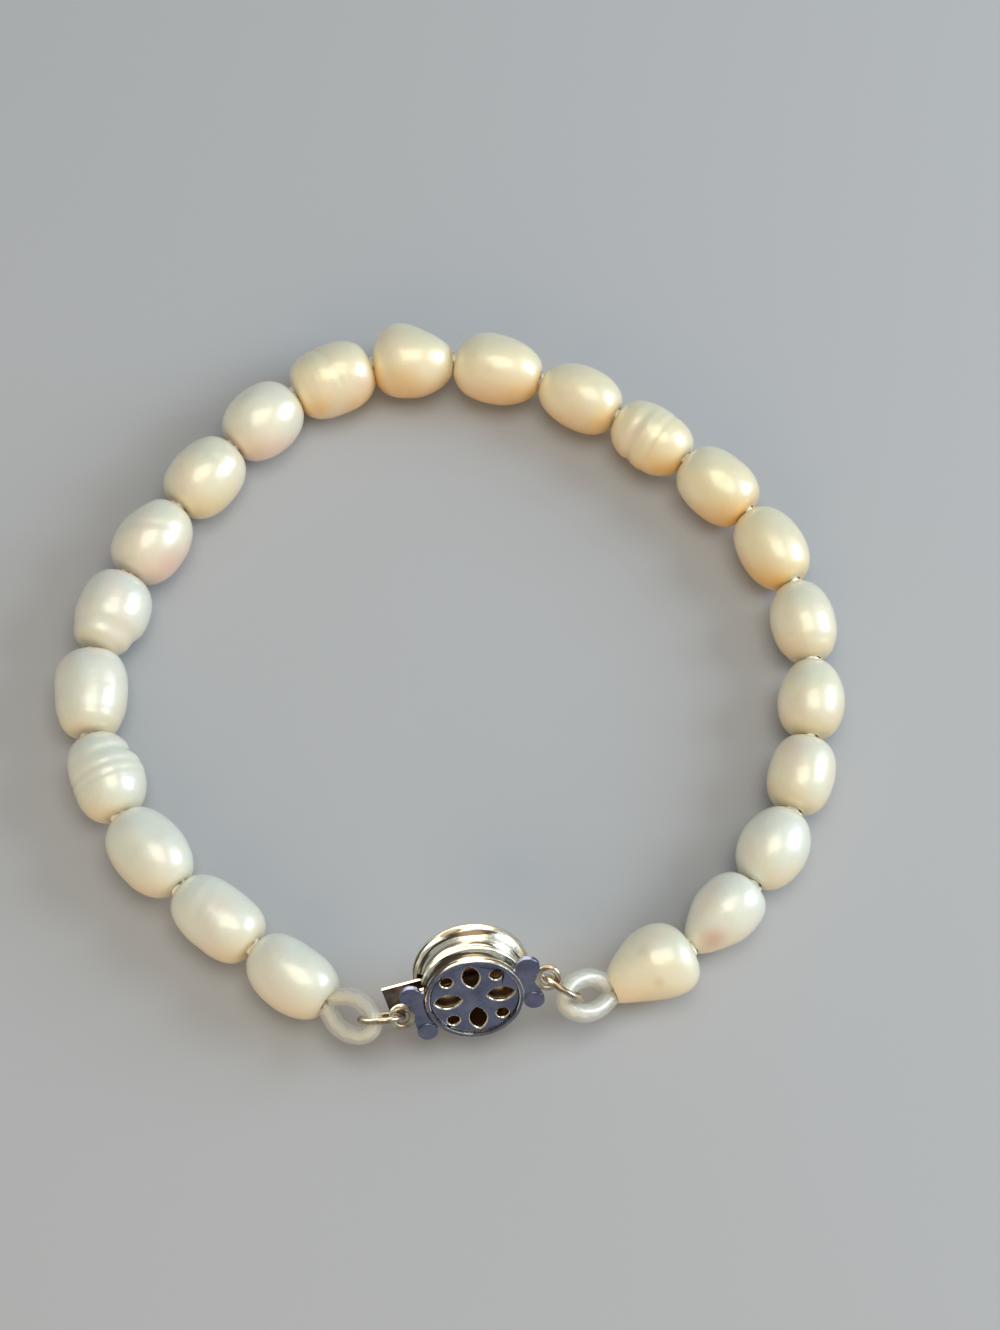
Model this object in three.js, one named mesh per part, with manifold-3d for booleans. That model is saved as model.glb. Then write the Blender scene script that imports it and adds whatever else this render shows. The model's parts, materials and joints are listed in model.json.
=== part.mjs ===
// A pearl bracelet laid down in a ring: drilled pearls on a knotted silk thread, whose end loops
// run through clear sleeves and hang by jump rings from the eyes of a round silver box clasp.
// Millimetres and degrees, +Z up. It lies on the plane z = 0 and is centred on the origin.
import * as THREE from 'three';
import { mergeVertices } from 'three/addons/utils/BufferGeometryUtils.js';
import Module from 'manifold-3d';

const wasm = await Module();
wasm.setup();

// Mean size of the pearls. Each pearl's own size is a share of it, and the strand's length follows.
const PEARL_LENGTH = 7.0;
const PEARL_WIDTH = 5.8;

// Thread, knots and drilled holes
const THREAD_WIDTH = 0.5;
const THREAD_CLEARANCE = 0.2;
const KNOT_WIDTH = 1.0;
const KNOT_SINK = 0.25;
const KNOT_CLEARANCE = 0.2;
const PEARL_GAP = 0.4;
const END_MOUTH_DEPTH = 0.8;
const END_GAP = 0.45;

// Sleeves over the thread's end loops
const SLEEVE_LENGTH = 4.0;
const SLEEVE_HALF_WIDTH = 1.45;
const SLEEVE_WALL = 0.3;
const SLEEVE_END_WALL = 0.15;
const SLEEVE_LEG_GAP = 0.1;

// Jump rings, and the eyes of the clasp
const RING_INNER_WIDTH = 2.8;
const RING_WIRE = 0.5;
const EYE_INNER_WIDTH = 1.1;
const EYE_WIRE = 0.5;
const EYE_TILT = 20;
const LINK_CLEARANCE = 0.17;
const RING_SLACK = 0.2;

// Round box of the clasp, seen from its pierced back plate
const PLATE_RADIUS = 3.8;
const PLATE_THICKNESS = 0.35;
const RIM_WIDTH = 0.35;
const RIM_HEIGHT = 0.15;
const LIP_RADIUS = 4.57;
const BOX_DEPTH = 4.0;
const BOX_WALL = 0.5;
const COVER_THICKNESS = 0.4;
const COVER_DOME = 0.3;
const PETAL_LENGTH = 2.2;
const PETAL_WIDTH = 1.4;
const PETAL_DISTANCE = 2.05;
const PETAL_TURN = -7.3;
const HOLE_WIDTH = 1.0;
const HOLE_DISTANCE = 2.7;
const PIERCE_MARGIN = 0.15;

// Wings beside the plate, and the folded spring tongue that the left one is soldered to
const WING_THICKNESS = 0.3;
const WING_OVERLAP = 0.3;
const TONGUE_WIDTH = 2.8;
const TONGUE_SHEET = 0.25;
const TONGUE_REACH = 2.5;
const TONGUE_INSET = 0.5;
const SPRING_HEIGHT = 1.45;
const TONGUE_CLEARANCE = 0.3;
const TAB_REACH = 3.1;

// Side wall of the box from the plate to its front cover. depth is a share of the box's depth,
// step a share of the step from the plate's radius out to the lip's.
const WALL_STEPS = [
  { depth: 0.11, step: 0.0 },
  { depth: 0.18, step: -0.3 },
  { depth: 0.28, step: 0.3 },
  { depth: 0.36, step: 0.3 },
  { depth: 0.45, step: -0.1 },
  { depth: 0.57, step: 0.15 },
  { depth: 0.67, step: 0.75 },
  { depth: 0.81, step: 1.0 },
  { depth: 0.93, step: 0.8 },
  { depth: 1.0, step: 0.2 },
];

// The wings: how far each reaches past the plate to its eye, and its upper and lower round lobe.
// out is from the plate's edge, up from the middle line of the clasp.
const WINGS = {
  left: {
    side: -1,
    reach: 1.2,
    lobes: [{ out: 0.8, up: 1.75, radius: 0.85 }, { out: 0.5, up: -2.0, radius: 0.8 }],
  },
  right: {
    side: 1,
    reach: 1.2,
    lobes: [{ out: 0.8, up: 1.54, radius: 0.95 }, { out: 0.5, up: -1.66, radius: 0.8 }],
  },
};

// How the clasp stands: turned and raised to the right, leaning back on the lip of its box
const CLASP_HEADING = 12.5;
const CLASP_RISE = 10;
const CLASP_LEAN = 33;

// Facets
const PEARL_SIDES = 12;
const PEARL_RINGS = 10;
const GROOVE_CLEARANCE = 0.02;
const THREAD_SIDES = 6;
const SLEEVE_SIDES = 8;
const BEND_STEPS = 9;
const WIRE_SIDES = 6;
const RING_STEPS = 14;
const EYE_STEPS = 12;
const KNOT_SIDES = 8;
const KNOT_RINGS = 5;
const HOLE_SIDES = 8;
const LOBE_SIDES = 12;
const PETAL_STEPS = 5;
const BOX_SIDES = 28;

// One row for each pearl, clockwise from the left of the clasp.
// length is a share of PEARL_LENGTH, width and bow are shares of PEARL_WIDTH.
// startPower and endPower: 2 is an ellipsoid's end, more is blunter, less is more pointed.
// taper: how much fatter the end is than the start. bow: how far the middle bulges into the ring.
const PEARLS = [
  { length: 1.014, width: 0.966, startPower: 2.1, endPower: 2.1, taper: 0.0, bow: -0.017, tint: 0xefe6cf },
  { length: 1.057, width: 0.948, startPower: 2.6, endPower: 2.3, taper: -0.05, bow: 0.000, tint: 0xece6d3 },
  { length: 1.057, width: 1.017, startPower: 2.1, endPower: 2.1, taper: 0.0, bow: 0.000, tint: 0xebe4d6 },
  { length: 1.014, width: 1.000, startPower: 2.3, endPower: 2.3, taper: -0.06, bow: 0.026, tint: 0xe8e5da },
  { length: 1.029, width: 1.000, startPower: 2.5, endPower: 2.5, taper: 0.0, bow: 0.000, tint: 0xe9e6da },
  { length: 0.986, width: 1.034, startPower: 2.3, endPower: 2.2, taper: 0.1, bow: 0.021, tint: 0xe9e4d4 },
  { length: 1.014, width: 1.052, startPower: 2.2, endPower: 2.0, taper: -0.03, bow: 0.000, tint: 0xecdcc8 },
  { length: 0.971, width: 1.034, startPower: 2.3, endPower: 2.3, taper: 0.0, bow: 0.000, tint: 0xe8dfc9 },
  { length: 0.971, width: 1.052, startPower: 2.1, endPower: 2.1, taper: 0.0, bow: 0.000, tint: 0xe9dfc2 },
  { length: 0.986, width: 1.069, startPower: 2.4, endPower: 2.4, taper: 0.0, bow: 0.000, tint: 0xe9dcb9 },
  { length: 0.971, width: 1.052, startPower: 2.2, endPower: 1.9, taper: -0.08, bow: 0.000, tint: 0xe9dab0 },
  { length: 1.057, width: 1.034, startPower: 2.1, endPower: 2.0, taper: -0.06, bow: 0.000, tint: 0xe9ddb8 },
  { length: 1.000, width: 0.966, startPower: 2.0, endPower: 2.1, taper: 0.07, bow: 0.000, tint: 0xeadfbb },
  { length: 0.971, width: 0.966, startPower: 2.3, endPower: 2.2, taper: 0.0, bow: 0.021, tint: 0xe8d8a9 },
  { length: 0.971, width: 1.000, startPower: 2.3, endPower: 2.3, taper: 0.0, bow: 0.000, tint: 0xeadfbd },
  { length: 1.000, width: 0.966, startPower: 2.1, endPower: 2.1, taper: 0.04, bow: 0.000, tint: 0xebe0bf },
  { length: 0.971, width: 0.931, startPower: 2.1, endPower: 2.2, taper: 0.0, bow: 0.000, tint: 0xebe1c4 },
  { length: 0.929, width: 0.948, startPower: 2.0, endPower: 2.2, taper: 0.09, bow: 0.000, tint: 0xece3c9 },
  { length: 0.886, width: 0.931, startPower: 2.5, endPower: 2.5, taper: 0.0, bow: 0.000, tint: 0xecdcc6 },
  { length: 0.943, width: 0.966, startPower: 2.1, endPower: 2.1, taper: 0.0, bow: 0.000, tint: 0xebe4ce },
  { length: 0.986, width: 0.897, startPower: 2.2, endPower: 1.45, taper: -0.2, bow: 0.017, tint: 0xece2c4 },
  { length: 0.986, width: 0.966, startPower: 2.4, endPower: 1.35, taper: -0.2, bow: 0.086, tint: 0xecdcb0 },
];

// Ring-shaped grooves round some pearls, counted from 1. at runs from -1 to 1 along the pearl,
// depth is a share of the radius and breadth a share of half the length.
const GROOVES = [
  { pearl: 4, at: 0.0, depth: 0.03, breadth: 0.1 },
  { pearl: 4, at: 0.38, depth: 0.06, breadth: 0.12 },
  { pearl: 5, at: -0.6, depth: 0.02, breadth: 0.1 },
  { pearl: 6, at: -0.5, depth: 0.1, breadth: 0.16 },
  { pearl: 14, at: -0.2, depth: 0.06, breadth: 0.12 },
  { pearl: 17, at: 0.72, depth: 0.04, breadth: 0.1 },
];

// The ring that the knots lie on: its radius every 20 degrees clockwise from the clasp,
// as shares of its mean radius, which the length of the strand gives
const ROUTE_SHARES = [
  1.0, 1.0, 0.945, 0.985, 1.03, 1.02, 0.975, 0.985, 1.045,
  1.035, 0.995, 0.965, 0.995, 1.015, 1.005, 1.015, 1.015, 1.0,
];

// How each end hangs from the clasp. Headings are anticlockwise from +X, seen from above.
// ringHeading and ringPitch point from the eye to the sleeve, sleeveHeading from there to the pearl.
const ENDS = {
  left: { wing: WINGS.left, ringHeading: 178, ringPitch: -14, sleeveHeading: 145 },
  right: { wing: WINGS.right, ringHeading: -13, ringPitch: -44, sleeveHeading: 21 },
};
const SLEEVE_ROLL = 24;
const RING_STAND = 66;

// Sizes that follow from those above
const threadRadius = THREAD_WIDTH / 2;
const boreRadius = threadRadius + THREAD_CLEARANCE;
const mouthRadius = KNOT_WIDTH / 2 + KNOT_CLEARANCE;
const mouthDepth = KNOT_SINK + KNOT_CLEARANCE;
const sleeveRadius = boreRadius + SLEEVE_WALL;
const sleeveEndRadius = boreRadius + SLEEVE_END_WALL;
const strandOffset = sleeveEndRadius + SLEEVE_LEG_GAP / 2;
const endMouthRadius = strandOffset + threadRadius + LINK_CLEARANCE;
const eyeRadius = (EYE_INNER_WIDTH + EYE_WIRE) / 2;
const ringRadius = (RING_INNER_WIDTH + RING_WIRE) / 2;
const wingEdge = ({ side, reach }) => side * (PLATE_RADIUS + reach);
const eyeCentre = (wing) => (
  new THREE.Vector3(wingEdge(wing) + wing.side * eyeRadius, 0, -WING_THICKNESS / 2)
);

const nacre = (color) => new THREE.MeshStandardMaterial({
  name: 'pearl',
  color,
  metalness: 0.0,
  roughness: 0.2,
});

const silver = new THREE.MeshStandardMaterial({
  name: 'silver',
  color: 0xc9c6bd,
  metalness: 1.0,
  roughness: 0.22,
});

const silk = new THREE.MeshStandardMaterial({
  name: 'silk',
  color: 0xf1ece0,
  metalness: 0.0,
  roughness: 0.7,
});

const clearTube = new THREE.MeshStandardMaterial({
  name: 'sleeve',
  color: 0xd8d6cc,
  metalness: 0.0,
  roughness: 0.25,
  transparent: true,
  opacity: 0.6,
});

const radians = THREE.MathUtils.degToRad;

// A unit vector. The heading is anticlockwise from +X, the pitch upwards.
function direction(heading, pitch) {
  return new THREE.Vector3(
    Math.cos(radians(pitch)) * Math.cos(radians(heading)),
    Math.cos(radians(pitch)) * Math.sin(radians(heading)),
    Math.sin(radians(pitch)),
  );
}

// Joins equal points and leaves out the triangles that this closes up.
function tidyMesh(geometry) {
  const merged = mergeVertices(geometry, 1e-4);
  const corners = Array.from(merged.index.array);
  const kept = [];
  for (let start = 0; start < corners.length; start += 3) {
    const [a, b, c] = corners.slice(start, start + 3);
    if (a !== b && b !== c && c !== a) kept.push(a, b, c);
  }
  merged.setIndex(kept);
  return merged;
}

// A skin over rings of points. Rings that don't close on each other begin and end in a point.
function skin(rings, closed = false) {
  const sides = rings[0].length;
  const spans = closed ? rings.length : rings.length - 1;
  const index = [];
  for (let ring = 0; ring < spans; ring += 1) {
    const here = ring * sides;
    const there = ((ring + 1) % rings.length) * sides;
    for (let side = 0; side < sides; side += 1) {
      const beside = (side + 1) % sides;
      index.push(here + side, here + beside, there + beside);
      index.push(here + side, there + beside, there + side);
    }
  }
  const geometry = new THREE.BufferGeometry();
  const positions = rings.flat().flatMap((point) => point.toArray());
  geometry.setAttribute('position', new THREE.Float32BufferAttribute(positions, 3));
  geometry.setIndex(index);
  return tidyMesh(geometry);
}

// A ring of points round a centre, in the plane of two axes.
function circle(centre, first, second, radius, sides) {
  return Array.from({ length: sides }, (_, side) => {
    const angle = (side / sides) * 2 * Math.PI;
    return centre.clone()
      .addScaledVector(first, radius * Math.cos(angle))
      .addScaledVector(second, radius * Math.sin(angle));
  });
}

function asSolid(geometry) {
  const plain = geometry.clone();
  plain.deleteAttribute('normal');
  plain.deleteAttribute('uv');
  const merged = tidyMesh(plain);
  return new wasm.Manifold(new wasm.Mesh({
    numProp: 3,
    vertProperties: new Float32Array(merged.attributes.position.array),
    triVerts: new Uint32Array(merged.index.array),
  }));
}

function asGeometry(solid) {
  const mesh = solid.getMesh();
  const geometry = new THREE.BufferGeometry();
  geometry.setAttribute('position', new THREE.BufferAttribute(mesh.vertProperties, 3));
  geometry.setIndex(new THREE.BufferAttribute(mesh.triVerts, 1));
  return geometry;
}

const joined = (geometries) => geometries.map(asSolid).reduce((sum, solid) => sum.add(solid));

function named(name, geometry, material) {
  geometry.computeVertexNormals();
  const mesh = new THREE.Mesh(geometry, material);
  mesh.name = name;
  return mesh;
}

// Pearls

const groovesOf = (row) => GROOVES.filter(({ pearl }) => PEARLS[pearl - 1] === row);

function rimRadius(row, along) {
  const outerStart = row === PEARLS[0] && along < 0;
  const outerEnd = row === PEARLS.at(-1) && along > 0;
  return outerStart || outerEnd ? endMouthRadius : mouthRadius;
}

function pearlRadius(row, along) {
  const power = along < 0 ? row.startPower : row.endPower;
  const round = (1 - Math.min(1, Math.abs(along)) ** power) ** (1 / power);
  const rim = rimRadius(row, along);
  const groove = groovesOf(row).reduce((share, { at, depth, breadth }) => {
    const distance = (along - at) / breadth;
    return share * (1 - depth * Math.exp(-(distance ** 2)));
  }, 1);
  return rim + ((row.width * PEARL_WIDTH) / 2 - rim) * round * (1 + row.taper * along) * groove;
}

// Where the rings of the mesh lie: closer at the ends, and three across each groove.
function pearlRings(row) {
  const turn = Math.PI / (PEARL_RINGS - 1);
  const even = Array.from({ length: PEARL_RINGS }, (_, ring) => -Math.cos(ring * turn));
  const places = groovesOf(row).reduce((kept, { at, breadth }) => {
    const clear = kept.filter((along) => Math.abs(along - at) > breadth + GROOVE_CLEARANCE);
    return [...clear, at - breadth, at, at + breadth];
  }, even);
  return places.sort((a, b) => a - b);
}

const pearlHeight = (row) => Math.max(...pearlRings(row).map((along) => pearlRadius(row, along)));

const pearlLength = (row) => row.length * PEARL_LENGTH;

// The pearl lies along X, with the middle of the bracelet on its -Y side.
function pearlGeometry(row) {
  const half = pearlLength(row) / 2;
  const acrossY = new THREE.Vector3(0, 1, 0);
  const acrossZ = new THREE.Vector3(0, 0, 1);
  const outside = pearlRings(row).map((along) => {
    const centre = new THREE.Vector3(along * half, -row.bow * PEARL_WIDTH * (1 - along ** 2), 0);
    return circle(centre, acrossY, acrossZ, pearlRadius(row, along), PEARL_SIDES);
  });
  const endDepth = row === PEARLS.at(-1) ? END_MOUTH_DEPTH : mouthDepth;
  const startDepth = row === PEARLS[0] ? END_MOUTH_DEPTH : mouthDepth;
  const bore = [half - endDepth, startDepth - half].map((x) => (
    circle(new THREE.Vector3(x, 0, 0), acrossY, acrossZ, boreRadius, PEARL_SIDES)
  ));
  return skin([...outside, ...bore], true);
}

// The clasp's own frame: X along it, Y up the back plate, Z out of the plate's face

function claspTurn() {
  const along = direction(CLASP_HEADING, CLASP_RISE);
  const forwards = direction(CLASP_HEADING - 90, 0);
  const upwards = forwards.clone().cross(along);
  const outwards = forwards.multiplyScalar(Math.cos(radians(CLASP_LEAN)))
    .addScaledVector(upwards, Math.sin(radians(CLASP_LEAN)));
  const upPlate = outwards.clone().cross(along);
  const basis = new THREE.Matrix4().makeBasis(along, upPlate, outwards);
  return new THREE.Quaternion().setFromRotationMatrix(basis);
}

function cylinderAt(x, y, radius, top, bottom, sides) {
  const cylinder = new THREE.CylinderGeometry(radius, radius, top - bottom, sides);
  return cylinder.rotateX(Math.PI / 2).translate(x, y, (top + bottom) / 2);
}

function blockBetween(low, high) {
  const size = new THREE.Vector3(...high).sub(new THREE.Vector3(...low));
  const middle = new THREE.Vector3(...low).addScaledVector(size, 0.5);
  return new THREE.BoxGeometry(size.x, size.y, size.z).translate(middle.x, middle.y, middle.z);
}

function boxBody() {
  const plateEdge = PLATE_RADIUS - RIM_WIDTH;
  const lipStep = LIP_RADIUS - PLATE_RADIUS;
  const wall = WALL_STEPS.map(({ depth, step }) => [PLATE_RADIUS + step * lipStep, -depth * BOX_DEPTH]);
  const outline = [
    [0, 0],
    [plateEdge, 0],
    [plateEdge, RIM_HEIGHT],
    [PLATE_RADIUS, RIM_HEIGHT],
    ...wall,
    [0, -BOX_DEPTH - COVER_DOME],
  ];
  const acrossX = new THREE.Vector3(1, 0, 0);
  const acrossY = new THREE.Vector3(0, 1, 0);
  const rings = outline.map(([radius, z]) => {
    const centre = new THREE.Vector3(0, 0, z);
    return circle(centre, acrossX, acrossY, radius, BOX_SIDES);
  });
  return skin(rings.reverse());
}

// A leaf-shaped petal of two arcs, pointing outwards along its own X.
function petalShape() {
  const halfLength = PETAL_LENGTH / 2;
  const bulge = PETAL_WIDTH / 2;
  const arcRadius = (halfLength ** 2 + bulge ** 2) / (2 * bulge);
  const arcAngle = Math.asin(halfLength / arcRadius);
  const shape = new THREE.Shape();
  shape.absarc(0, bulge - arcRadius, arcRadius, Math.PI / 2 - arcAngle, Math.PI / 2 + arcAngle, false);
  shape.absarc(0, arcRadius - bulge, arcRadius, -Math.PI / 2 - arcAngle, -Math.PI / 2 + arcAngle, false);
  return shape;
}

function piercings() {
  const through = PLATE_THICKNESS + RIM_HEIGHT + PIERCE_MARGIN;
  const cut = { depth: through, bevelEnabled: false, curveSegments: PETAL_STEPS };
  const petals = [0, 90, 180, 270].map((turn) => (
    new THREE.ExtrudeGeometry(petalShape(), cut)
      .translate(PETAL_DISTANCE, 0, RIM_HEIGHT - through)
      .rotateZ(radians(turn + PETAL_TURN))
  ));
  const holes = [45, 135, 225, 315].map((turn) => (
    cylinderAt(HOLE_DISTANCE, 0, HOLE_WIDTH / 2, RIM_HEIGHT, RIM_HEIGHT - through, HOLE_SIDES)
      .rotateZ(radians(turn + PETAL_TURN))
  ));
  return joined([...petals, ...holes]);
}

// Both wings lie in the plane of the plate: two round lobes on a bar that reaches to the eye.
function wingPlate(wing, innerRadius) {
  const { side, lobes } = wing;
  const [top, bottom] = lobes;
  const outer = wingEdge(wing);
  const inner = side * (PLATE_RADIUS - WING_OVERLAP);
  const bar = blockBetween(
    [Math.min(outer, inner), bottom.up, -WING_THICKNESS],
    [Math.max(outer, inner), top.up, 0],
  );
  const rounds = lobes.map(({ out, up, radius }) => (
    cylinderAt(side * (PLATE_RADIUS + out), up, radius, 0, -WING_THICKNESS, LOBE_SIDES)
  ));
  const cutter = cylinderAt(0, 0, innerRadius, RIM_HEIGHT, -WING_THICKNESS - RIM_HEIGHT, BOX_SIDES);
  return joined([bar, ...rounds]).subtract(asSolid(cutter));
}

function eye(wing) {
  const wire = new THREE.TorusGeometry(eyeRadius, EYE_WIRE / 2, WIRE_SIDES, EYE_STEPS);
  return asSolid(wire.rotateX(radians(-EYE_TILT)).translate(...eyeCentre(wing).toArray()));
}

const tongueTop = -PLATE_THICKNESS - TONGUE_INSET;
const tongueBottom = tongueTop - SPRING_HEIGHT;

function claspBoxGeometry() {
  const hollowBottom = COVER_THICKNESS - BOX_DEPTH;
  const hollow = cylinderAt(0, 0, PLATE_RADIUS - BOX_WALL, -PLATE_THICKNESS, hollowBottom, BOX_SIDES);
  const slotHalf = TONGUE_WIDTH / 2 + TONGUE_CLEARANCE;
  const slot = blockBetween(
    [-LIP_RADIUS - BOX_WALL, -slotHalf, tongueBottom - TONGUE_CLEARANCE],
    [-PLATE_RADIUS / 2, slotHalf, tongueTop + TONGUE_CLEARANCE],
  );
  const box = asSolid(boxBody())
    .add(wingPlate(WINGS.right, PLATE_RADIUS - WING_OVERLAP / 2))
    .add(eye(WINGS.right))
    .subtract(asSolid(hollow))
    .subtract(piercings())
    .subtract(asSolid(slot));
  return asGeometry(box);
}

// The tongue is a strip folded back on itself, whose lower end sticks out as the thumb tab.
function claspTongueGeometry() {
  const fold = TONGUE_REACH;
  const outerEdge = wingEdge(WINGS.left);
  const tabEnd = -PLATE_RADIUS - TAB_REACH;
  const rise = SPRING_HEIGHT / 2;
  const strip = new THREE.Shape([
    [outerEdge, tongueTop],
    [fold - TONGUE_SHEET, tongueTop],
    [fold, tongueTop - TONGUE_SHEET],
    [fold - TONGUE_SHEET, tongueTop - rise],
    [-PLATE_RADIUS, tongueBottom],
    [tabEnd, tongueBottom],
    [tabEnd, tongueBottom + TONGUE_SHEET],
    [-PLATE_RADIUS, tongueBottom + TONGUE_SHEET],
    [fold - 2 * TONGUE_SHEET, tongueTop - rise + TONGUE_SHEET],
    [fold - 2 * TONGUE_SHEET, tongueTop - TONGUE_SHEET],
    [outerEdge, tongueTop - TONGUE_SHEET],
  ].map(([x, z]) => new THREE.Vector2(x, z)));
  const spring = new THREE.ExtrudeGeometry(strip, { depth: TONGUE_WIDTH, bevelEnabled: false })
    .rotateX(Math.PI / 2)
    .translate(0, TONGUE_WIDTH / 2, 0);
  const riser = blockBetween(
    [outerEdge, -TONGUE_WIDTH / 2, tongueTop - TONGUE_SHEET],
    [outerEdge + TONGUE_SHEET, TONGUE_WIDTH / 2, 0],
  );
  const tongue = joined([spring, riser])
    .add(wingPlate(WINGS.left, PLATE_RADIUS + TONGUE_CLEARANCE / 2))
    .add(eye(WINGS.left));
  return asGeometry(tongue);
}

// The two ends, from the eye of the clasp to the mouth of the outermost pearl

// Where the jump ring and the sleeve of one end lie, and the point where the string begins.
function endLayout({ wing, ringHeading, ringPitch, sleeveHeading }, toWorld, mouthHeight) {
  const away = direction(ringHeading, ringPitch);
  const eyeAxis = new THREE.Vector3(0, Math.sin(radians(EYE_TILT)), Math.cos(radians(EYE_TILT)))
    .transformDirection(toWorld);
  const pull = away.clone().addScaledVector(eyeAxis, -away.dot(eyeAxis)).normalize();
  const eyeWire = eyeCentre(wing).applyMatrix4(toWorld).addScaledVector(pull, eyeRadius);
  const innerRadius = RING_INNER_WIDTH / 2 - LINK_CLEARANCE;
  const ringCentre = eyeWire.clone().addScaledVector(away, innerRadius - EYE_WIRE / 2 - RING_SLACK);
  const bend = ringCentre.clone().addScaledVector(away, innerRadius - sleeveRadius);
  const bendCentre = bend.clone().addScaledVector(away, SLEEVE_HALF_WIDTH);
  const legLength = SLEEVE_LENGTH - SLEEVE_HALF_WIDTH;
  const reach = legLength + END_GAP;
  const slope = THREE.MathUtils.radToDeg(Math.asin((mouthHeight - bendCentre.z) / reach));
  const along = direction(sleeveHeading, slope);
  const level = direction(sleeveHeading + 90, 0);
  const upwards = along.clone().cross(level);
  const across = level.multiplyScalar(Math.cos(radians(SLEEVE_ROLL)))
    .addScaledVector(upwards, wing.side * Math.sin(radians(SLEEVE_ROLL)));
  const facing = along.clone().cross(across);
  const standing = direction(-90, RING_STAND);
  const ringUp = standing.addScaledVector(away, -standing.dot(away)).normalize();
  const mouth = bendCentre.clone().addScaledVector(along, reach);
  return { away, ringCentre, ringUp, bendCentre, along, across, facing, legLength, mouth };
}

function jumpRing({ away, ringCentre, ringUp }) {
  const basis = new THREE.Matrix4().makeBasis(away, ringUp, away.clone().cross(ringUp));
  const geometry = new THREE.TorusGeometry(ringRadius, RING_WIRE / 2, WIRE_SIDES, RING_STEPS);
  geometry.deleteAttribute('uv');
  geometry.deleteAttribute('normal');
  const mesh = new THREE.Mesh(tidyMesh(geometry), silver);
  mesh.geometry.computeVertexNormals();
  mesh.setRotationFromMatrix(basis);
  mesh.position.copy(ringCentre);
  return mesh;
}

// Middle line of a sleeve: one leg from the mouth, round the bend and back beside the first leg.
function loopPath({ bendCentre, along, across, legLength }) {
  const endDistance = Math.hypot(legLength, strandOffset);
  const touch = Math.atan2(strandOffset, legLength) + Math.acos(SLEEVE_HALF_WIDTH / endDistance);
  const bend = Array.from({ length: BEND_STEPS + 1 }, (_, step) => {
    const angle = touch + (step / BEND_STEPS) * 2 * (Math.PI - touch);
    return [SLEEVE_HALF_WIDTH * Math.cos(angle), SLEEVE_HALF_WIDTH * Math.sin(angle)];
  });
  const path = [[legLength, strandOffset], ...bend, [legLength, -strandOffset]];
  return path.map(([x, y]) => bendCentre.clone().addScaledVector(along, x).addScaledVector(across, y));
}

function sweptRings(path, facing, radiusAt, sides) {
  return path.map((point, step) => {
    const before = path[Math.max(step - 1, 0)];
    const after = path[Math.min(step + 1, path.length - 1)];
    const tangent = after.clone().sub(before).normalize();
    return circle(point, facing, tangent.cross(facing), radiusAt(step), sides);
  });
}

function sleeve(layout) {
  const path = loopPath(layout);
  const isEnd = (step) => step === 0 || step === path.length - 1;
  const outerRadius = (step) => (isEnd(step) ? sleeveEndRadius : sleeveRadius);
  const outside = sweptRings(path, layout.facing, outerRadius, SLEEVE_SIDES);
  const inside = sweptRings(path, layout.facing, () => boreRadius, SLEEVE_SIDES);
  return skin([...outside, ...inside.reverse()], true);
}

function rod(start, end, radius) {
  const tangent = end.clone().sub(start).normalize();
  const first = new THREE.Vector3(0, 0, 1).cross(tangent).normalize();
  const second = tangent.clone().cross(first);
  const rings = [start, end].map((centre) => circle(centre, first, second, radius, THREAD_SIDES));
  return skin([Array(THREAD_SIDES).fill(start), ...rings, Array(THREAD_SIDES).fill(end)]);
}

// The thread's loop in one sleeve, and its two strands down into the mouth of the pearl.
function threadLoop(layout, deepPoint) {
  const path = loopPath(layout);
  const rings = sweptRings(path, layout.facing, () => threadRadius, THREAD_SIDES);
  const first = path[0];
  const last = path.at(-1);
  const loop = skin([Array(THREAD_SIDES).fill(first), ...rings, Array(THREAD_SIDES).fill(last)]);
  const strands = [first, last].map((end) => {
    const inward = deepPoint.clone().sub(end).normalize();
    return rod(end.clone().addScaledVector(inward, -threadRadius / 2), deepPoint, threadRadius);
  });
  return [loop, ...strands];
}

// The ring that the knots lie on

function routeShare(angle) {
  const steps = ROUTE_SHARES.length;
  const place = (angle / (2 * Math.PI)) * steps;
  const before = Math.floor(place);
  const share = (offset) => ROUTE_SHARES[(before + offset + steps) % steps];
  const part = place - before;
  const [a, b, c, d] = [-1, 0, 1, 2].map(share);
  return b + 0.5 * part * (c - a + part * (2 * a - 5 * b + 4 * c - d + part * (3 * (b - c) + d - a)));
}

// The angle runs clockwise from the clasp, seen from above.
function routePoint(meanRadius, angle) {
  const radius = meanRadius * routeShare(angle);
  return new THREE.Vector2(-radius * Math.sin(angle), -radius * Math.cos(angle));
}

function bisect(low, high, isPast) {
  let [below, above] = [low, high];
  for (let round = 0; round < 50; round += 1) {
    const middle = (below + above) / 2;
    if (isPast(middle)) above = middle;
    else below = middle;
  }
  return (below + above) / 2;
}

function walk(meanRadius, start, chords) {
  const angles = [start];
  chords.forEach((chord) => {
    const from = angles.at(-1);
    const here = routePoint(meanRadius, from);
    const isPast = (angle) => routePoint(meanRadius, angle).distanceTo(here) > chord;
    angles.push(bisect(from, from + Math.PI / 2, isPast));
  });
  return angles;
}

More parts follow.
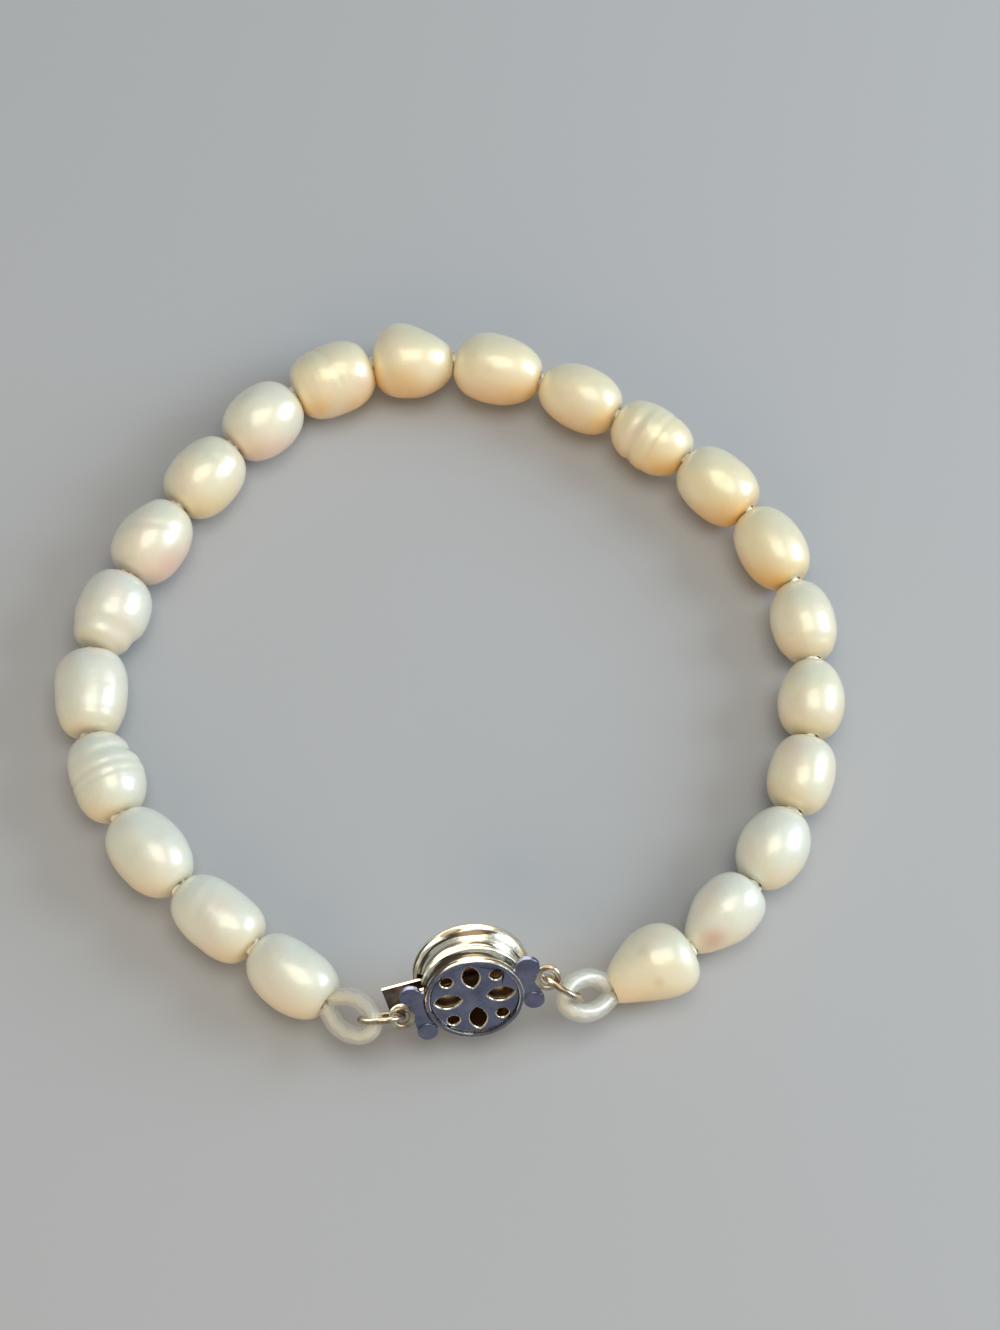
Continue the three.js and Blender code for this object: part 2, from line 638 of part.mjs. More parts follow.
// Knots spaced by the pearls between them, on a ring that leaves the clasp's stretch open.
function knotPoints(chords, start, end) {
  const opening = start.distanceTo(end);
  const halfOpening = (meanRadius) => bisect(0, Math.PI / 2, (angle) => (
    routePoint(meanRadius, angle).distanceTo(routePoint(meanRadius, 2 * Math.PI - angle)) > opening
  ));
  const around = chords.reduce((sum, chord) => sum + chord, opening);
  const roughRadius = around / (2 * Math.PI);
  const meanRadius = bisect(roughRadius * 0.8, roughRadius * 1.3, (radius) => {
    const half = halfOpening(radius);
    return walk(radius, half, chords).at(-1) < 2 * Math.PI - half;
  });
  const angles = walk(meanRadius, halfOpening(meanRadius), chords);
  const points = angles.map((angle) => routePoint(meanRadius, angle));
  const turn = end.clone().sub(start).angle() - points.at(-1).clone().sub(points[0]).angle();
  const origin = new THREE.Vector2();
  const turned = points.map((point) => point.rotateAround(origin, turn));
  const shift = start.clone().sub(turned[0]);
  return turned.map((point) => point.add(shift));
}

// Assembly

function clasp() {
  const group = new THREE.Group();
  group.name = 'clasp';
  const box = named('clasp_box', claspBoxGeometry(), silver);
  const tongue = named('clasp_tongue', claspTongueGeometry(), silver);
  group.add(box, tongue);
  group.quaternion.copy(claspTurn());
  group.updateMatrixWorld(true);
  group.position.z = -new THREE.Box3().setFromObject(group, true).min.z;
  group.updateMatrixWorld(true);
  return group;
}

function bracelet() {
  const group = new THREE.Group();
  group.name = 'bracelet';
  const claspGroup = clasp();
  const heights = PEARLS.map(pearlHeight);
  const left = endLayout(ENDS.left, claspGroup.matrixWorld, heights[0]);
  const right = endLayout(ENDS.right, claspGroup.matrixWorld, heights.at(-1));
  const chords = PEARLS.map((row) => pearlLength(row) + PEARL_GAP);
  const start = new THREE.Vector2(left.mouth.x, left.mouth.y);
  const end = new THREE.Vector2(right.mouth.x, right.mouth.y);
  const knots = knotPoints(chords, start, end);

  const pearls = PEARLS.map((row, place) => {
    const number = String(place + 1).padStart(2, '0');
    const mesh = named(`pearl_${number}`, pearlGeometry(row), nacre(row.tint));
    const span = knots[place + 1].clone().sub(knots[place]);
    const middle = knots[place].clone().addScaledVector(span, 0.5);
    mesh.position.set(middle.x, middle.y, heights[place]);
    mesh.rotation.z = span.angle();
    mesh.updateMatrixWorld(true);
    return mesh;
  });

  const onAxis = (place, along) => new THREE.Vector3(along, 0, 0).applyMatrix4(pearls[place].matrixWorld);
  const lastPlace = PEARLS.length - 1;
  const endReach = (row) => pearlLength(row) / 2 - END_MOUTH_DEPTH;
  const startPoint = onAxis(0, -endReach(PEARLS[0]));
  const endPoint = onAxis(lastPlace, endReach(PEARLS[lastPlace]));
  const runs = PEARLS.map((row, place) => {
    const from = place === 0 ? -endReach(row) : -chords[place] / 2;
    const to = place === lastPlace ? endReach(row) : chords[place] / 2;
    return rod(onAxis(place, from), onAxis(place, to), threadRadius);
  });
  const ties = knots.slice(1, -1).map((knot, place) => {
    const height = (heights[place] + heights[place + 1]) / 2;
    const heading = (pearls[place].rotation.z + pearls[place + 1].rotation.z) / 2;
    return new THREE.SphereGeometry(KNOT_WIDTH / 2, KNOT_SIDES, KNOT_RINGS)
      .scale((PEARL_GAP + 2 * KNOT_SINK) / KNOT_WIDTH, 1, 1)
      .rotateZ(heading)
      .translate(knot.x, knot.y, height);
  });
  const loops = [...threadLoop(left, startPoint), ...threadLoop(right, endPoint)];
  const thread = named('thread', asGeometry(joined([...runs, ...ties, ...loops])), silk);

  const ends = Object.entries({ left, right }).flatMap(([side, layout]) => {
    const ring = jumpRing(layout);
    ring.name = `jump_ring_${side}`;
    return [ring, named(`sleeve_${side}`, sleeve(layout), clearTube)];
  });

  group.add(...pearls, thread, ...ends, claspGroup);
  return group;
}

// The finished bracelet is centred on the origin and stands on the plane z = 0.
function centred(group) {
  group.updateMatrixWorld(true);
  const box = new THREE.Box3().setFromObject(group, true);
  const middle = box.getCenter(new THREE.Vector3());
  group.position.set(-middle.x, -middle.y, -box.min.z);
  return group;
}

export default centred(bracelet());
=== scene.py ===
# A pearl bracelet laid down in a ring: drilled baroque pearls on a knotted silk thread, whose end
# loops run through clear sleeves and hang by jump rings from the eyes of a round silver box clasp.
# Sizes are in mm in each piece's own frame, and every piece is placed in metres.
import json
import math

import bmesh
import bpy
from mathutils import Matrix, Vector, noise


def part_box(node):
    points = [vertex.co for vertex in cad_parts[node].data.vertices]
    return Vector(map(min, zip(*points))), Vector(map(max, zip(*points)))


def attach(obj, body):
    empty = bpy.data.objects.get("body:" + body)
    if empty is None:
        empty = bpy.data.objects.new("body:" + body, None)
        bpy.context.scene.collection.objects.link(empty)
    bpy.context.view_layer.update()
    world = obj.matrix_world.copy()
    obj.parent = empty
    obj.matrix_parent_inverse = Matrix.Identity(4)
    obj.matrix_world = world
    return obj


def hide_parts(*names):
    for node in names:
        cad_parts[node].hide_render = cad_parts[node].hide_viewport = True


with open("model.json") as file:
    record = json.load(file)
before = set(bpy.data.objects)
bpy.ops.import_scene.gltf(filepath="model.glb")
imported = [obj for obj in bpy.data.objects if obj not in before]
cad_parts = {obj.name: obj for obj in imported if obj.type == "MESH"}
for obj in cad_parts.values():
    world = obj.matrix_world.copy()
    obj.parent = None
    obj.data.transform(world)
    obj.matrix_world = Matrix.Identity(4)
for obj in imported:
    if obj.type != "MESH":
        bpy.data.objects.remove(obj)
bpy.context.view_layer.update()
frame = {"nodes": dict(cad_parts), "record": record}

# The camera stands in front of the clasp and looks down at the ring from 66 degrees.
aim = Vector((0.00405, 0.0017, 0.0))
elevation = math.radians(66)
distance = 0.2124
camera = bpy.data.objects.new("camera", bpy.data.cameras.new("camera"))
bpy.context.collection.objects.link(camera)
camera.data.lens = 69
camera.data.sensor_width = 36
camera.data.clip_start = 0.01
camera.location = aim + Vector((0, -math.cos(elevation), math.sin(elevation))) * distance
camera.rotation_euler = (math.pi / 2 - elevation, 0, 0)
bpy.context.scene.camera = camera
bpy.context.scene.view_settings.view_transform = "Standard"

# Floor: a plain pale table top, wide enough for every view.


def set_inputs(node, inputs):
    """Gives each input of a shader node its value, or the output of another node that feeds it."""
    for socket, source in inputs.items():
        if isinstance(source, bpy.types.NodeSocket):
            node.id_data.links.new(source, node.inputs[socket])
        else:
            node.inputs[socket].default_value = source


def dress(material, inputs):
    """Sets the inputs of a material's own shader."""
    set_inputs(material.node_tree.nodes["Principled BSDF"], inputs)


def new_material(name, inputs):
    """A material with these inputs on its own shader."""
    material = bpy.data.materials.new(name)
    material.use_nodes = True
    dress(material, inputs)
    return material


table = bpy.data.meshes.new("floor")
bm = bmesh.new()
bmesh.ops.create_grid(bm, x_segments=1, y_segments=1, size=2.0)
bm.to_mesh(table)
bm.free()
floor = bpy.data.objects.new("floor", table)
bpy.context.collection.objects.link(floor)
table.materials.append(new_material("pale matt grey", {
    "Base Color": (0.44, 0.45, 0.48, 1), "Roughness": 0.9, "Specular IOR Level": 0.2}))

# Lights: a cool window low at the right, a warm ceiling lamp and a golden glow from the front left
# that has no reflection. A pale wall and two cream walls show only as reflections in the silver.
silver_pieces = bpy.data.collections.new("silver pieces")
lamps = [
    {"name": "window", "kind": "lamp", "direction": (0.86, 0.14, 0.42), "reach": 0.45, "width": 0.22,
     "power": 1.45, "color": (0.74, 0.89, 1.0)},
    {"name": "ceiling lamp", "kind": "lamp", "direction": (0.10, 0.02, 0.99), "reach": 0.55, "width": 0.36,
     "power": 1.1, "color": (1.0, 0.94, 0.80)},
    {"name": "pale wall", "kind": "wall", "direction": (0.0, 0.94, 0.34), "reach": 0.70, "width": 0.70,
     "power": 3.0, "color": (1.0, 0.97, 0.88)},
    {"name": "cream wall behind", "kind": "wall", "direction": (0.0, 0.80, 0.60), "reach": 0.80,
     "width": 1.10, "power": 4.5, "color": (1.0, 0.95, 0.82)},
    {"name": "cream wall left", "kind": "wall", "direction": (-0.80, 0.50, 0.34), "reach": 0.70,
     "width": 0.70, "power": 4.0, "color": (1.0, 0.95, 0.82)},
    {"name": "golden glow", "kind": "glow", "direction": (-0.20, -0.88, 0.34), "reach": 0.50, "width": 0.40,
     "power": 1.15, "color": (1.0, 0.68, 0.32)},
]
for lamp in lamps:
    light = bpy.data.lights.new(lamp["name"], "AREA")
    light.size = lamp["width"]
    light.energy = lamp["power"]
    light.color = lamp["color"]
    direction = Vector(lamp["direction"]).normalized()
    holder = bpy.data.objects.new(lamp["name"], light)
    holder.location = direction * lamp["reach"]
    holder.rotation_euler = direction.to_track_quat("Z", "Y").to_euler()
    holder.visible_diffuse = lamp["kind"] != "wall"
    holder.visible_glossy = lamp["kind"] != "glow"
    if lamp["kind"] == "wall":
        holder.light_linking.receiver_collection = silver_pieces
    bpy.context.collection.objects.link(holder)
room = bpy.data.worlds.new("room")
room.use_nodes = True
room.node_tree.nodes["Background"].inputs["Color"].default_value = (0.86, 0.94, 0.96, 1)
room.node_tree.nodes["Background"].inputs["Strength"].default_value = 0.36
bpy.context.scene.world = room

# Pearls: baroque freshwater pearls, cream to gold and each a little different, drilled lengthwise
# for the thread and countersunk at both ends for the knots. They lie on their sides in a ring.
# One row for each, clockwise from the left of the clasp. start and end: 2 is an ellipsoid's end,
# more is blunter. taper: how much fatter the end is. bow: bulge into the ring. rings: how strong
# its fine growth rings are.
pearl_rows = [
    {"width": 5.6, "start": 2.1, "end": 2.1, "taper": 0.0, "bow": -0.1, "tint": "white", "rings": 0.0},
    {"width": 5.5, "start": 2.6, "end": 2.3, "taper": -0.05, "bow": 0.0, "tint": "white", "rings": 0.16},
    {"width": 5.9, "start": 2.1, "end": 2.1, "taper": 0.0, "bow": 0.0, "tint": "white", "rings": 0.0},
    {"width": 5.8, "start": 2.3, "end": 2.3, "taper": -0.06, "bow": 0.15, "tint": "white", "rings": 0.28},
    {"width": 5.8, "start": 2.5, "end": 2.8, "taper": 0.0, "bow": 0.0, "tint": "white", "rings": 0.12},
    {"width": 6.0, "start": 2.3, "end": 2.2, "taper": 0.1, "bow": 0.12, "tint": "white", "rings": 0.2},
    {"width": 6.1, "start": 2.2, "end": 2.0, "taper": -0.03, "bow": 0.0, "tint": "pink", "rings": 0.0},
    {"width": 6.0, "start": 2.3, "end": 2.3, "taper": 0.0, "bow": 0.0, "tint": "cream", "rings": 0.0},
    {"width": 6.1, "start": 2.1, "end": 2.1, "taper": 0.0, "bow": 0.0, "tint": "pink", "rings": 0.0},
    {"width": 6.2, "start": 2.4, "end": 2.4, "taper": 0.0, "bow": 0.0, "tint": "gold", "rings": 0.16},
    {"width": 6.1, "start": 2.2, "end": 1.9, "taper": -0.08, "bow": 0.0, "tint": "gold", "rings": 0.0},
    {"width": 6.0, "start": 2.1, "end": 2.0, "taper": -0.06, "bow": 0.0, "tint": "gold", "rings": 0.0},
    {"width": 5.6, "start": 2.0, "end": 2.1, "taper": 0.07, "bow": 0.0, "tint": "gold", "rings": 0.0},
    {"width": 5.6, "start": 2.3, "end": 2.2, "taper": 0.0, "bow": 0.12, "tint": "gold", "rings": 0.28},
    {"width": 5.8, "start": 2.3, "end": 2.3, "taper": 0.0, "bow": 0.0, "tint": "gold", "rings": 0.0},
    {"width": 5.6, "start": 2.1, "end": 2.1, "taper": 0.04, "bow": 0.0, "tint": "gold", "rings": 0.0},
    {"width": 5.4, "start": 1.9, "end": 2.0, "taper": 0.0, "bow": 0.0, "tint": "cream", "rings": 0.16},
    {"width": 5.5, "start": 1.85, "end": 2.0, "taper": 0.09, "bow": 0.0, "tint": "cream", "rings": 0.12},
    {"width": 5.4, "start": 2.3, "end": 2.2, "taper": 0.0, "bow": 0.0, "tint": "cream", "rings": 0.12},
    {"width": 5.6, "start": 1.9, "end": 1.9, "taper": 0.0, "bow": 0.0, "tint": "white", "rings": 0.0},
    {"width": 5.2, "start": 2.2, "end": 1.45, "taper": -0.2, "bow": 0.1, "tint": "white", "rings": 0.0},
    {"width": 5.6, "start": 2.4, "end": 1.35, "taper": -0.2, "bow": 0.3, "tint": "cream", "rings": 0.0},
]
# Creases that run round a pearl or part of the way. at: place from -1 to 1. depth: share of the
# radius. breadth: share of half the length. lean: how far it slants. middle and spread: degrees
# round the pearl, from the outside of the ring over the top; a spread of 360 goes all the way.
creases = [
    {"pearl": 2, "at": 0.30, "depth": 0.02, "breadth": 0.12, "lean": 0.10, "middle": 90, "spread": 120},
    {"pearl": 4, "at": -0.25, "depth": 0.02, "breadth": 0.06, "lean": 0.0, "middle": 90, "spread": 360},
    {"pearl": 4, "at": 0.0, "depth": 0.03, "breadth": 0.08, "lean": 0.0, "middle": 90, "spread": 360},
    {"pearl": 4, "at": 0.36, "depth": 0.12, "breadth": 0.13, "lean": 0.0, "middle": 175, "spread": 190},
    {"pearl": 5, "at": -0.60, "depth": 0.02, "breadth": 0.10, "lean": 0.0, "middle": 90, "spread": 360},
    {"pearl": 6, "at": -0.50, "depth": 0.10, "breadth": 0.18, "lean": 0.05, "middle": 150, "spread": 300},
    {"pearl": 7, "at": 0.05, "depth": 0.03, "breadth": 0.10, "lean": 0.45, "middle": 90, "spread": 150},
    {"pearl": 8, "at": 0.30, "depth": 0.03, "breadth": 0.12, "lean": 0.15, "middle": 100, "spread": 140},
    {"pearl": 10, "at": -0.10, "depth": 0.03, "breadth": 0.09, "lean": 0.2, "middle": 80, "spread": 110},
    {"pearl": 14, "at": -0.25, "depth": 0.08, "breadth": 0.12, "lean": 0.05, "middle": 170, "spread": 220},
    {"pearl": 14, "at": 0.25, "depth": 0.03, "breadth": 0.08, "lean": 0.0, "middle": 90, "spread": 360},
    {"pearl": 17, "at": 0.72, "depth": 0.04, "breadth": 0.10, "lean": 0.0, "middle": 90, "spread": 360},
]
# Bumps, dimples where the height is below 0, and flattened sides. height and reach are in mm.
swellings = [
    {"pearl": 1, "at": 0.1, "round": 160, "height": -0.14, "reach": 1.8},
    {"pearl": 2, "at": -0.3, "round": 60, "height": 0.10, "reach": 1.0},
    {"pearl": 2, "at": 0.4, "round": 130, "height": 0.08, "reach": 0.9},
    {"pearl": 4, "at": -0.1, "round": 175, "height": 0.20, "reach": 1.3},
    {"pearl": 5, "at": 0.5, "round": 10, "height": 0.22, "reach": 1.5},
    {"pearl": 6, "at": -0.75, "round": 60, "height": 0.12, "reach": 1.2},
    {"pearl": 7, "at": 0.55, "round": 30, "height": -0.16, "reach": 1.5},
    {"pearl": 8, "at": 0.5, "round": 40, "height": -0.12, "reach": 1.2},
    {"pearl": 9, "at": 0.1, "round": 95, "height": -0.07, "reach": 0.7},
    {"pearl": 11, "at": -0.42, "round": 15, "height": 0.60, "reach": 2.0},
    {"pearl": 11, "at": 0.65, "round": 15, "height": -0.35, "reach": 1.6},
    {"pearl": 12, "at": -0.5, "round": 20, "height": 0.14, "reach": 1.4},
    {"pearl": 14, "at": 0.25, "round": 170, "height": 0.25, "reach": 1.2},
    {"pearl": 15, "at": 0.2, "round": 100, "height": -0.07, "reach": 0.7},
    {"pearl": 15, "at": -0.4, "round": 50, "height": -0.09, "reach": 1.3},
    {"pearl": 22, "at": -0.5, "round": 5, "height": 0.40, "reach": 2.2},
    {"pearl": 22, "at": 0.15, "round": 110, "height": -0.10, "reach": 0.6},
]
bore_radius = 0.45
mouth_radius = 0.7
mouth_depth = 0.45
end_mouth_radius = 1.07
end_mouth_depth = 0.8
rings_along = 64
steps_round = 72
# How far each end stands out beyond the solid's.
skin = 0.05
# Unevenness: a broad wave and a finer one, which fade out towards the mouths of the drilled hole.
waviness = 0.036
broad_wave = {"scale": 0.30, "shift": 7.1}
fine_wave = {"scale": 0.85, "shift": 5.3, "share": 0.35}
fade_share = 0.35
# An edge at least this share of the longest one runs along the drilled hole.
bore_edge_share = 0.93

# body: the colour in between. low: painted warm light towards the underside. cool: painted cool shade towards
# the top, and the colour of the cool clouds.
tints = {
    "white": {"body": (0.785, 0.785, 0.67), "low": (0.80, 0.68, 0.46), "cool": (0.72, 0.75, 0.68)},
    "cream": {"body": (0.84, 0.78, 0.59), "low": (0.80, 0.62, 0.34), "cool": (0.71, 0.72, 0.59)},
    "gold": {"body": (0.88, 0.78, 0.53), "low": (0.85, 0.50, 0.13), "cool": (0.73, 0.71, 0.53)},
    "pink": {"body": (0.82, 0.79, 0.63), "low": (0.80, 0.56, 0.42), "cool": (0.72, 0.73, 0.63)},
}
blush = (0.85, 0.65, 0.56)
# Where the underside's painted warm light fades out and the top's painted cool shade begins, in mm from a
# pearl's middle.
painted_warm_light_zone = (-2.2, 1.0)
painted_cool_shade_zone = (1.8, 2.9)
painted_cool_shade_most = 0.7
# Stained spots, and on pearl 11 an orange patch of painted warm light on its inner, lower side. spot: mm
# along the pearl, outwards from the ring and up, from its middle.
stains_and_painted_glow = [
    {"pearl": 21, "spot": (2.4, 1.2, 1.4), "reach": 1.8, "color": (0.60, 0.36, 0.30), "share": 0.8},
    {"pearl": 22, "spot": (0.3, 1.6, 1.9), "reach": 0.7, "color": (0.68, 0.54, 0.32), "share": 0.55},
    {"pearl": 7, "spot": (-1.0, -2.4, 1.2), "reach": 1.8, "color": (0.78, 0.52, 0.44), "share": 0.55},
    {"pearl": 10, "spot": (1.6, -2.2, 1.4), "reach": 1.6, "color": (0.80, 0.60, 0.52), "share": 0.5},
    # Pearl 11's orange patch is painted warm light, not a stain.
    {"pearl": 11, "spot": (-0.9, -2.3, 1.2), "reach": 2.2, "color": (0.84, 0.52, 0.18), "share": 0.6},
    {"pearl": 12, "spot": (-0.4, -1.2, 2.4), "reach": 1.0, "color": (0.76, 0.62, 0.50), "share": 0.4},
    {"pearl": 19, "spot": (-1.6, -1.4, 2.2), "reach": 1.5, "color": (0.82, 0.62, 0.54), "share": 0.5},
]
nacre_finish = {
    "Metallic": 0.12, "Roughness": 0.40, "IOR": 1.66,
    "Subsurface Weight": 0.3, "Subsurface Radius": (1.0, 0.75, 0.5), "Subsurface Scale": 0.0006,
    "Coat Weight": 1.0, "Coat Roughness": 0.19, "Coat IOR": 1.55,
    "Sheen Weight": 0.12, "Sheen Roughness": 0.4, "Sheen Tint": (1.0, 0.86, 0.80, 1),
}


def place_in_frame(along, outwards, up, centre):
    """The matrix from a piece's own frame in mm to its place in metres."""
    turn = Matrix((along, outwards, up)).transposed().to_4x4()
    return Matrix.Translation(centre) @ turn @ Matrix.Scale(0.001, 4)


def add_piece(name, bm, place, materials, node=None, slot=None, sharp=180):
    """Puts a modelled shape in its place, as a piece that rides with the bracelet."""
    mesh = bpy.data.meshes.new(name)
    bmesh.ops.remove_doubles(bm, verts=bm.verts, dist=1e-5)
    bmesh.ops.recalc_face_normals(bm, faces=bm.faces)
    bm.transform(place)
    bm.to_mesh(mesh)
    bm.free()
    mesh.shade_smooth()
    mesh.set_sharp_from_angle(angle=math.radians(sharp))
    for material in materials:
        mesh.materials.append(material)
    piece = bpy.data.objects.new(name, mesh)
    bpy.context.collection.objects.link(piece)
    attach(piece, "root")
    if node:
        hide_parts(node)
    if slot == "silver":
        silver_pieces.objects.link(piece)
    return piece


def drilled_axis(node):
    """Middle, direction and half length of a pearl, from the long edges of its drilled hole."""
    mesh = frame["nodes"][node].data
    corners = [vertex.co for vertex in mesh.vertices]
    spans = [(corners[edge.vertices[1]] - corners[edge.vertices[0]], edge) for edge in mesh.edges]
    longest = max(span.length for span, _ in spans)
    bore = [(span, edge) for span, edge in spans if span.length > bore_edge_share * longest]
    along = Vector()
    for span, _ in bore:
        along += span if span.dot(bore[0][0]) > 0 else -span
    along.normalize()
    ends = [corners[index] for _, edge in bore for index in edge.vertices]
    on_axis = sum(ends, Vector()) / len(ends)
    reach = [(corner - on_axis).dot(along) for corner in corners]
    middle = on_axis + along * (max(reach) + min(reach)) / 2
    if along.cross(Vector((0, 0, 1))).dot(middle) > 0:
        along = -along
    return middle, along, (max(reach) - min(reach)) / 2


def pearl_shape(number, row, half):
    """A drilled pearl that lies along X, with the outside of the ring on its +Y side."""
    rims = {-1: end_mouth_radius if number == 1 else mouth_radius,
            1: end_mouth_radius if number == len(pearl_rows) else mouth_radius}
    depths = {-1: end_mouth_depth if number == 1 else mouth_depth,
              1: end_mouth_depth if number == len(pearl_rows) else mouth_depth}
    bm = bmesh.new()
    outline = []
    for ring in range(rings_along + 1):
        at = -math.cos(math.pi * ring / rings_along)
        side = 1 if at > 0 else -1
        power = row["end"] if at > 0 else row["start"]
        body = (1 - min(1, abs(at)) ** power) ** (1 / power) * (1 + row["taper"] * at)
        radius = rims[side] + (row["width"] / 2 - rims[side]) * body
        outline.append(bm.verts.new((at * half, radius, 0)))
    outline.append(bm.verts.new((half - depths[1], bore_radius, 0)))
    outline.append(bm.verts.new((depths[-1] - half, bore_radius, 0)))
    edges = [bm.edges.new((a, b)) for a, b in zip(outline, outline[1:] + outline[:1])]
    bmesh.ops.spin(bm, geom=outline + edges, cent=(0, 0, 0), axis=(1, 0, 0), angle=2 * math.pi,
                   steps=steps_round, use_merge=True)
    own_creases = [crease for crease in creases if crease["pearl"] == number]
    own_swellings = [swelling for swelling in swellings if swelling["pearl"] == number]
    for vertex in bm.verts:
        at = vertex.co.x / half
        radius = math.hypot(vertex.co.y, vertex.co.z)
        rim = rims[1 if at > 0 else -1]
        if radius <= rim + 1e-4:
            continue
        around = math.degrees(math.atan2(vertex.co.z, vertex.co.y))
        share = 1
        for crease in own_creases:
            turn = (around - crease["middle"] + 180) % 360 - 180
            slant = crease["lean"] * math.sin(math.radians(turn))
            offset = (at - crease["at"] - slant) / crease["breadth"]
            reach = 1 if crease["spread"] >= 360 else math.exp(-((2 * turn / crease["spread"]) ** 4))
            share *= 1 - crease["depth"] * reach * math.exp(-offset ** 2)
        height = 0
        for swelling in own_swellings:
            turn = math.radians((around - swelling["round"] + 180) % 360 - 180)
            offset = Vector((vertex.co.x - swelling["at"] * half, turn * radius)).length / swelling["reach"]
            height += swelling["height"] * math.exp(-offset ** 2)
        wave = noise.noise(vertex.co * broad_wave["scale"] + Vector((number * broad_wave["shift"], 0, 0)))
        wave += fine_wave["share"] * noise.noise(
            vertex.co * fine_wave["scale"] + Vector((0, number * fine_wave["shift"], 0)))
        fade = min(1, (radius - rim) / (fade_share * row["width"] / 2))
        grown = rim + (radius - rim) * share * (1 + waviness * wave * fade) + height * fade
        vertex.co.y *= grown / radius
        vertex.co.z *= grown / radius
        vertex.co.y -= row["bow"] * (1 - at * at)
    return bm


def add_node(material, kind, inputs, **settings):
    """A shader node with its settings and its inputs."""
    node = material.node_tree.nodes.new(f"ShaderNode{kind}")
    for name, choice in settings.items():
        setattr(node, name, choice)
    set_inputs(node, inputs)
    return node


def own_space(material, centre, turn):
    """Object coordinates in mm in a frame of the piece's own."""
    inputs = {"Vector": add_node(material, "TexCoord", {}).outputs["Object"], "Location": centre,
              "Rotation": turn.to_euler(), "Scale": (0.001, 0.001, 0.001)}
    return add_node(material, "Mapping", inputs, vector_type="TEXTURE").outputs["Vector"]


def clouded(material, place, scale, detail):
    """Cloudy noise from 0 to 1."""
    return add_node(material, "TexNoise", {"Vector": place, "Scale": scale, "Detail": detail}).outputs["Fac"]


def ranged(material, value, low, high, least=0.0, most=1.0, interpolation="LINEAR"):
    """A value that goes from least to most while another goes from low to high."""
    inputs = {"Value": value, "From Min": low, "From Max": high, "To Min": least, "To Max": most}
    return add_node(material, "MapRange", inputs, interpolation_type=interpolation).outputs["Result"]


def blended(material, share, under, over):
    """A colour, or another node's colour, with a share of a second colour over it."""
    under = under if isinstance(under, bpy.types.NodeSocket) else (*under, 1)
    inputs = {"Factor": share, "A": under, "B": (*over, 1)}
    return add_node(material, "Mix", inputs, data_type="RGBA").outputs["Result"]


def nacre(number, row, middle, along, outwards, up):
    """Pearl lustre: cream above with painted cool shade at the top, painted warm light below, and cool and
    pink clouds under a clear skin.
    """
    material = new_material(f"nacre {number:02d}", nacre_finish)
    tint = tints[row["tint"]]
    own = own_space(material, middle, Matrix((along, outwards, up)).transposed())
    # The painted cool shade's side is up and outwards, and leans along a little differently on each pearl.
    # The side away from it gets painted warm light.
    painted_cool_shade_side = Vector((0.2 * math.sin(number * 2.4), 0.62, 0.78)).normalized()
    level = Vector((1, 0, 0)) - painted_cool_shade_side * painted_cool_shade_side.x
    level.normalize()
    sides = own_space(material, middle, Matrix((level, painted_cool_shade_side.cross(level), painted_cool_shade_side)).transposed())
    height = add_node(material, "SeparateXYZ", {"Vector": sides}).outputs["Z"]
    # Painted light: warm light low down and cool shade high up, by each point's height towards the cool side.
    painted_warm_light_share = ranged(material, height, *painted_warm_light_zone, 1.0, 0.0, "SMOOTHSTEP")
    painted_cool_shade_share = ranged(material, height, *painted_cool_shade_zone, 0.0, painted_cool_shade_most, "SMOOTHSTEP")
    color = blended(material, painted_warm_light_share, tint["body"], tint["low"])
    color = blended(material, painted_cool_shade_share, color, tint["cool"])
    clouds = [
        {"scale": 0.33, "shift": 3.7, "from": 0.50, "to": 0.72, "color": tint["cool"], "share": 0.6},
        {"scale": 0.28, "shift": 9.1, "from": 0.50, "to": 0.74, "color": blush, "share": 0.45},
    ]
    for cloud in clouds:
        location = (number * 2.3 + cloud["shift"], cloud["shift"], 0)
        shifted = add_node(material, "Mapping", {"Vector": own, "Location": location}).outputs["Vector"]
        pattern = clouded(material, shifted, cloud["scale"], 2)
        share = ranged(material, pattern, cloud["from"], cloud["to"], 0.0, cloud["share"])
        color = blended(material, share, color, cloud["color"])
    # The stains, and pearl 11's painted warm light, go over the colour.
    for spot_mark in stains_and_painted_glow:
        if spot_mark["pearl"] != number:
            continue
        away = add_node(material, "VectorMath", {0: own, 1: spot_mark["spot"]}, operation="DISTANCE")
        share = ranged(material, away.outputs["Value"], 0.0, spot_mark["reach"], spot_mark["share"], 0.0,
                       "SMOOTHSTEP")
        color = blended(material, share, color, spot_mark["color"])
    ripples = clouded(material, own, 1.6, 4)
    growth = add_node(material, "TexWave", {
        "Vector": own, "Scale": 0.42, "Distortion": 3.0, "Detail": 2, "Detail Scale": 0.8})
    layers = add_node(material, "Math", {0: growth.outputs["Fac"], 1: row["rings"], 2: ripples},
                      operation="MULTIPLY_ADD")
    relief = add_node(material, "Bump", {
        "Strength": 0.15, "Distance": 0.0002, "Height": layers.outputs["Value"]})
    dress(material, {"Base Color": color, "Normal": relief.outputs["Normal"]})
    return material


sky = Vector((0, 0, 1))
pearl_ends = []
for number, row in enumerate(pearl_rows, 1):
    node = f"pearl_{number:02d}"
    middle, along, half = drilled_axis(node)
    outwards = sky.cross(along).normalized()
    up = along.cross(outwards)
    pearl_ends.append((middle - along * half, middle + along * half))
    material = nacre(number, row, middle, along, outwards, up)
    shape = pearl_shape(number, row, half * 1000 + skin)
    add_piece(f"baroque_pearl_{number:02d}", shape, place_in_frame(along, outwards, up, middle), [material],
              node=node, slot="pearl", sharp=40)

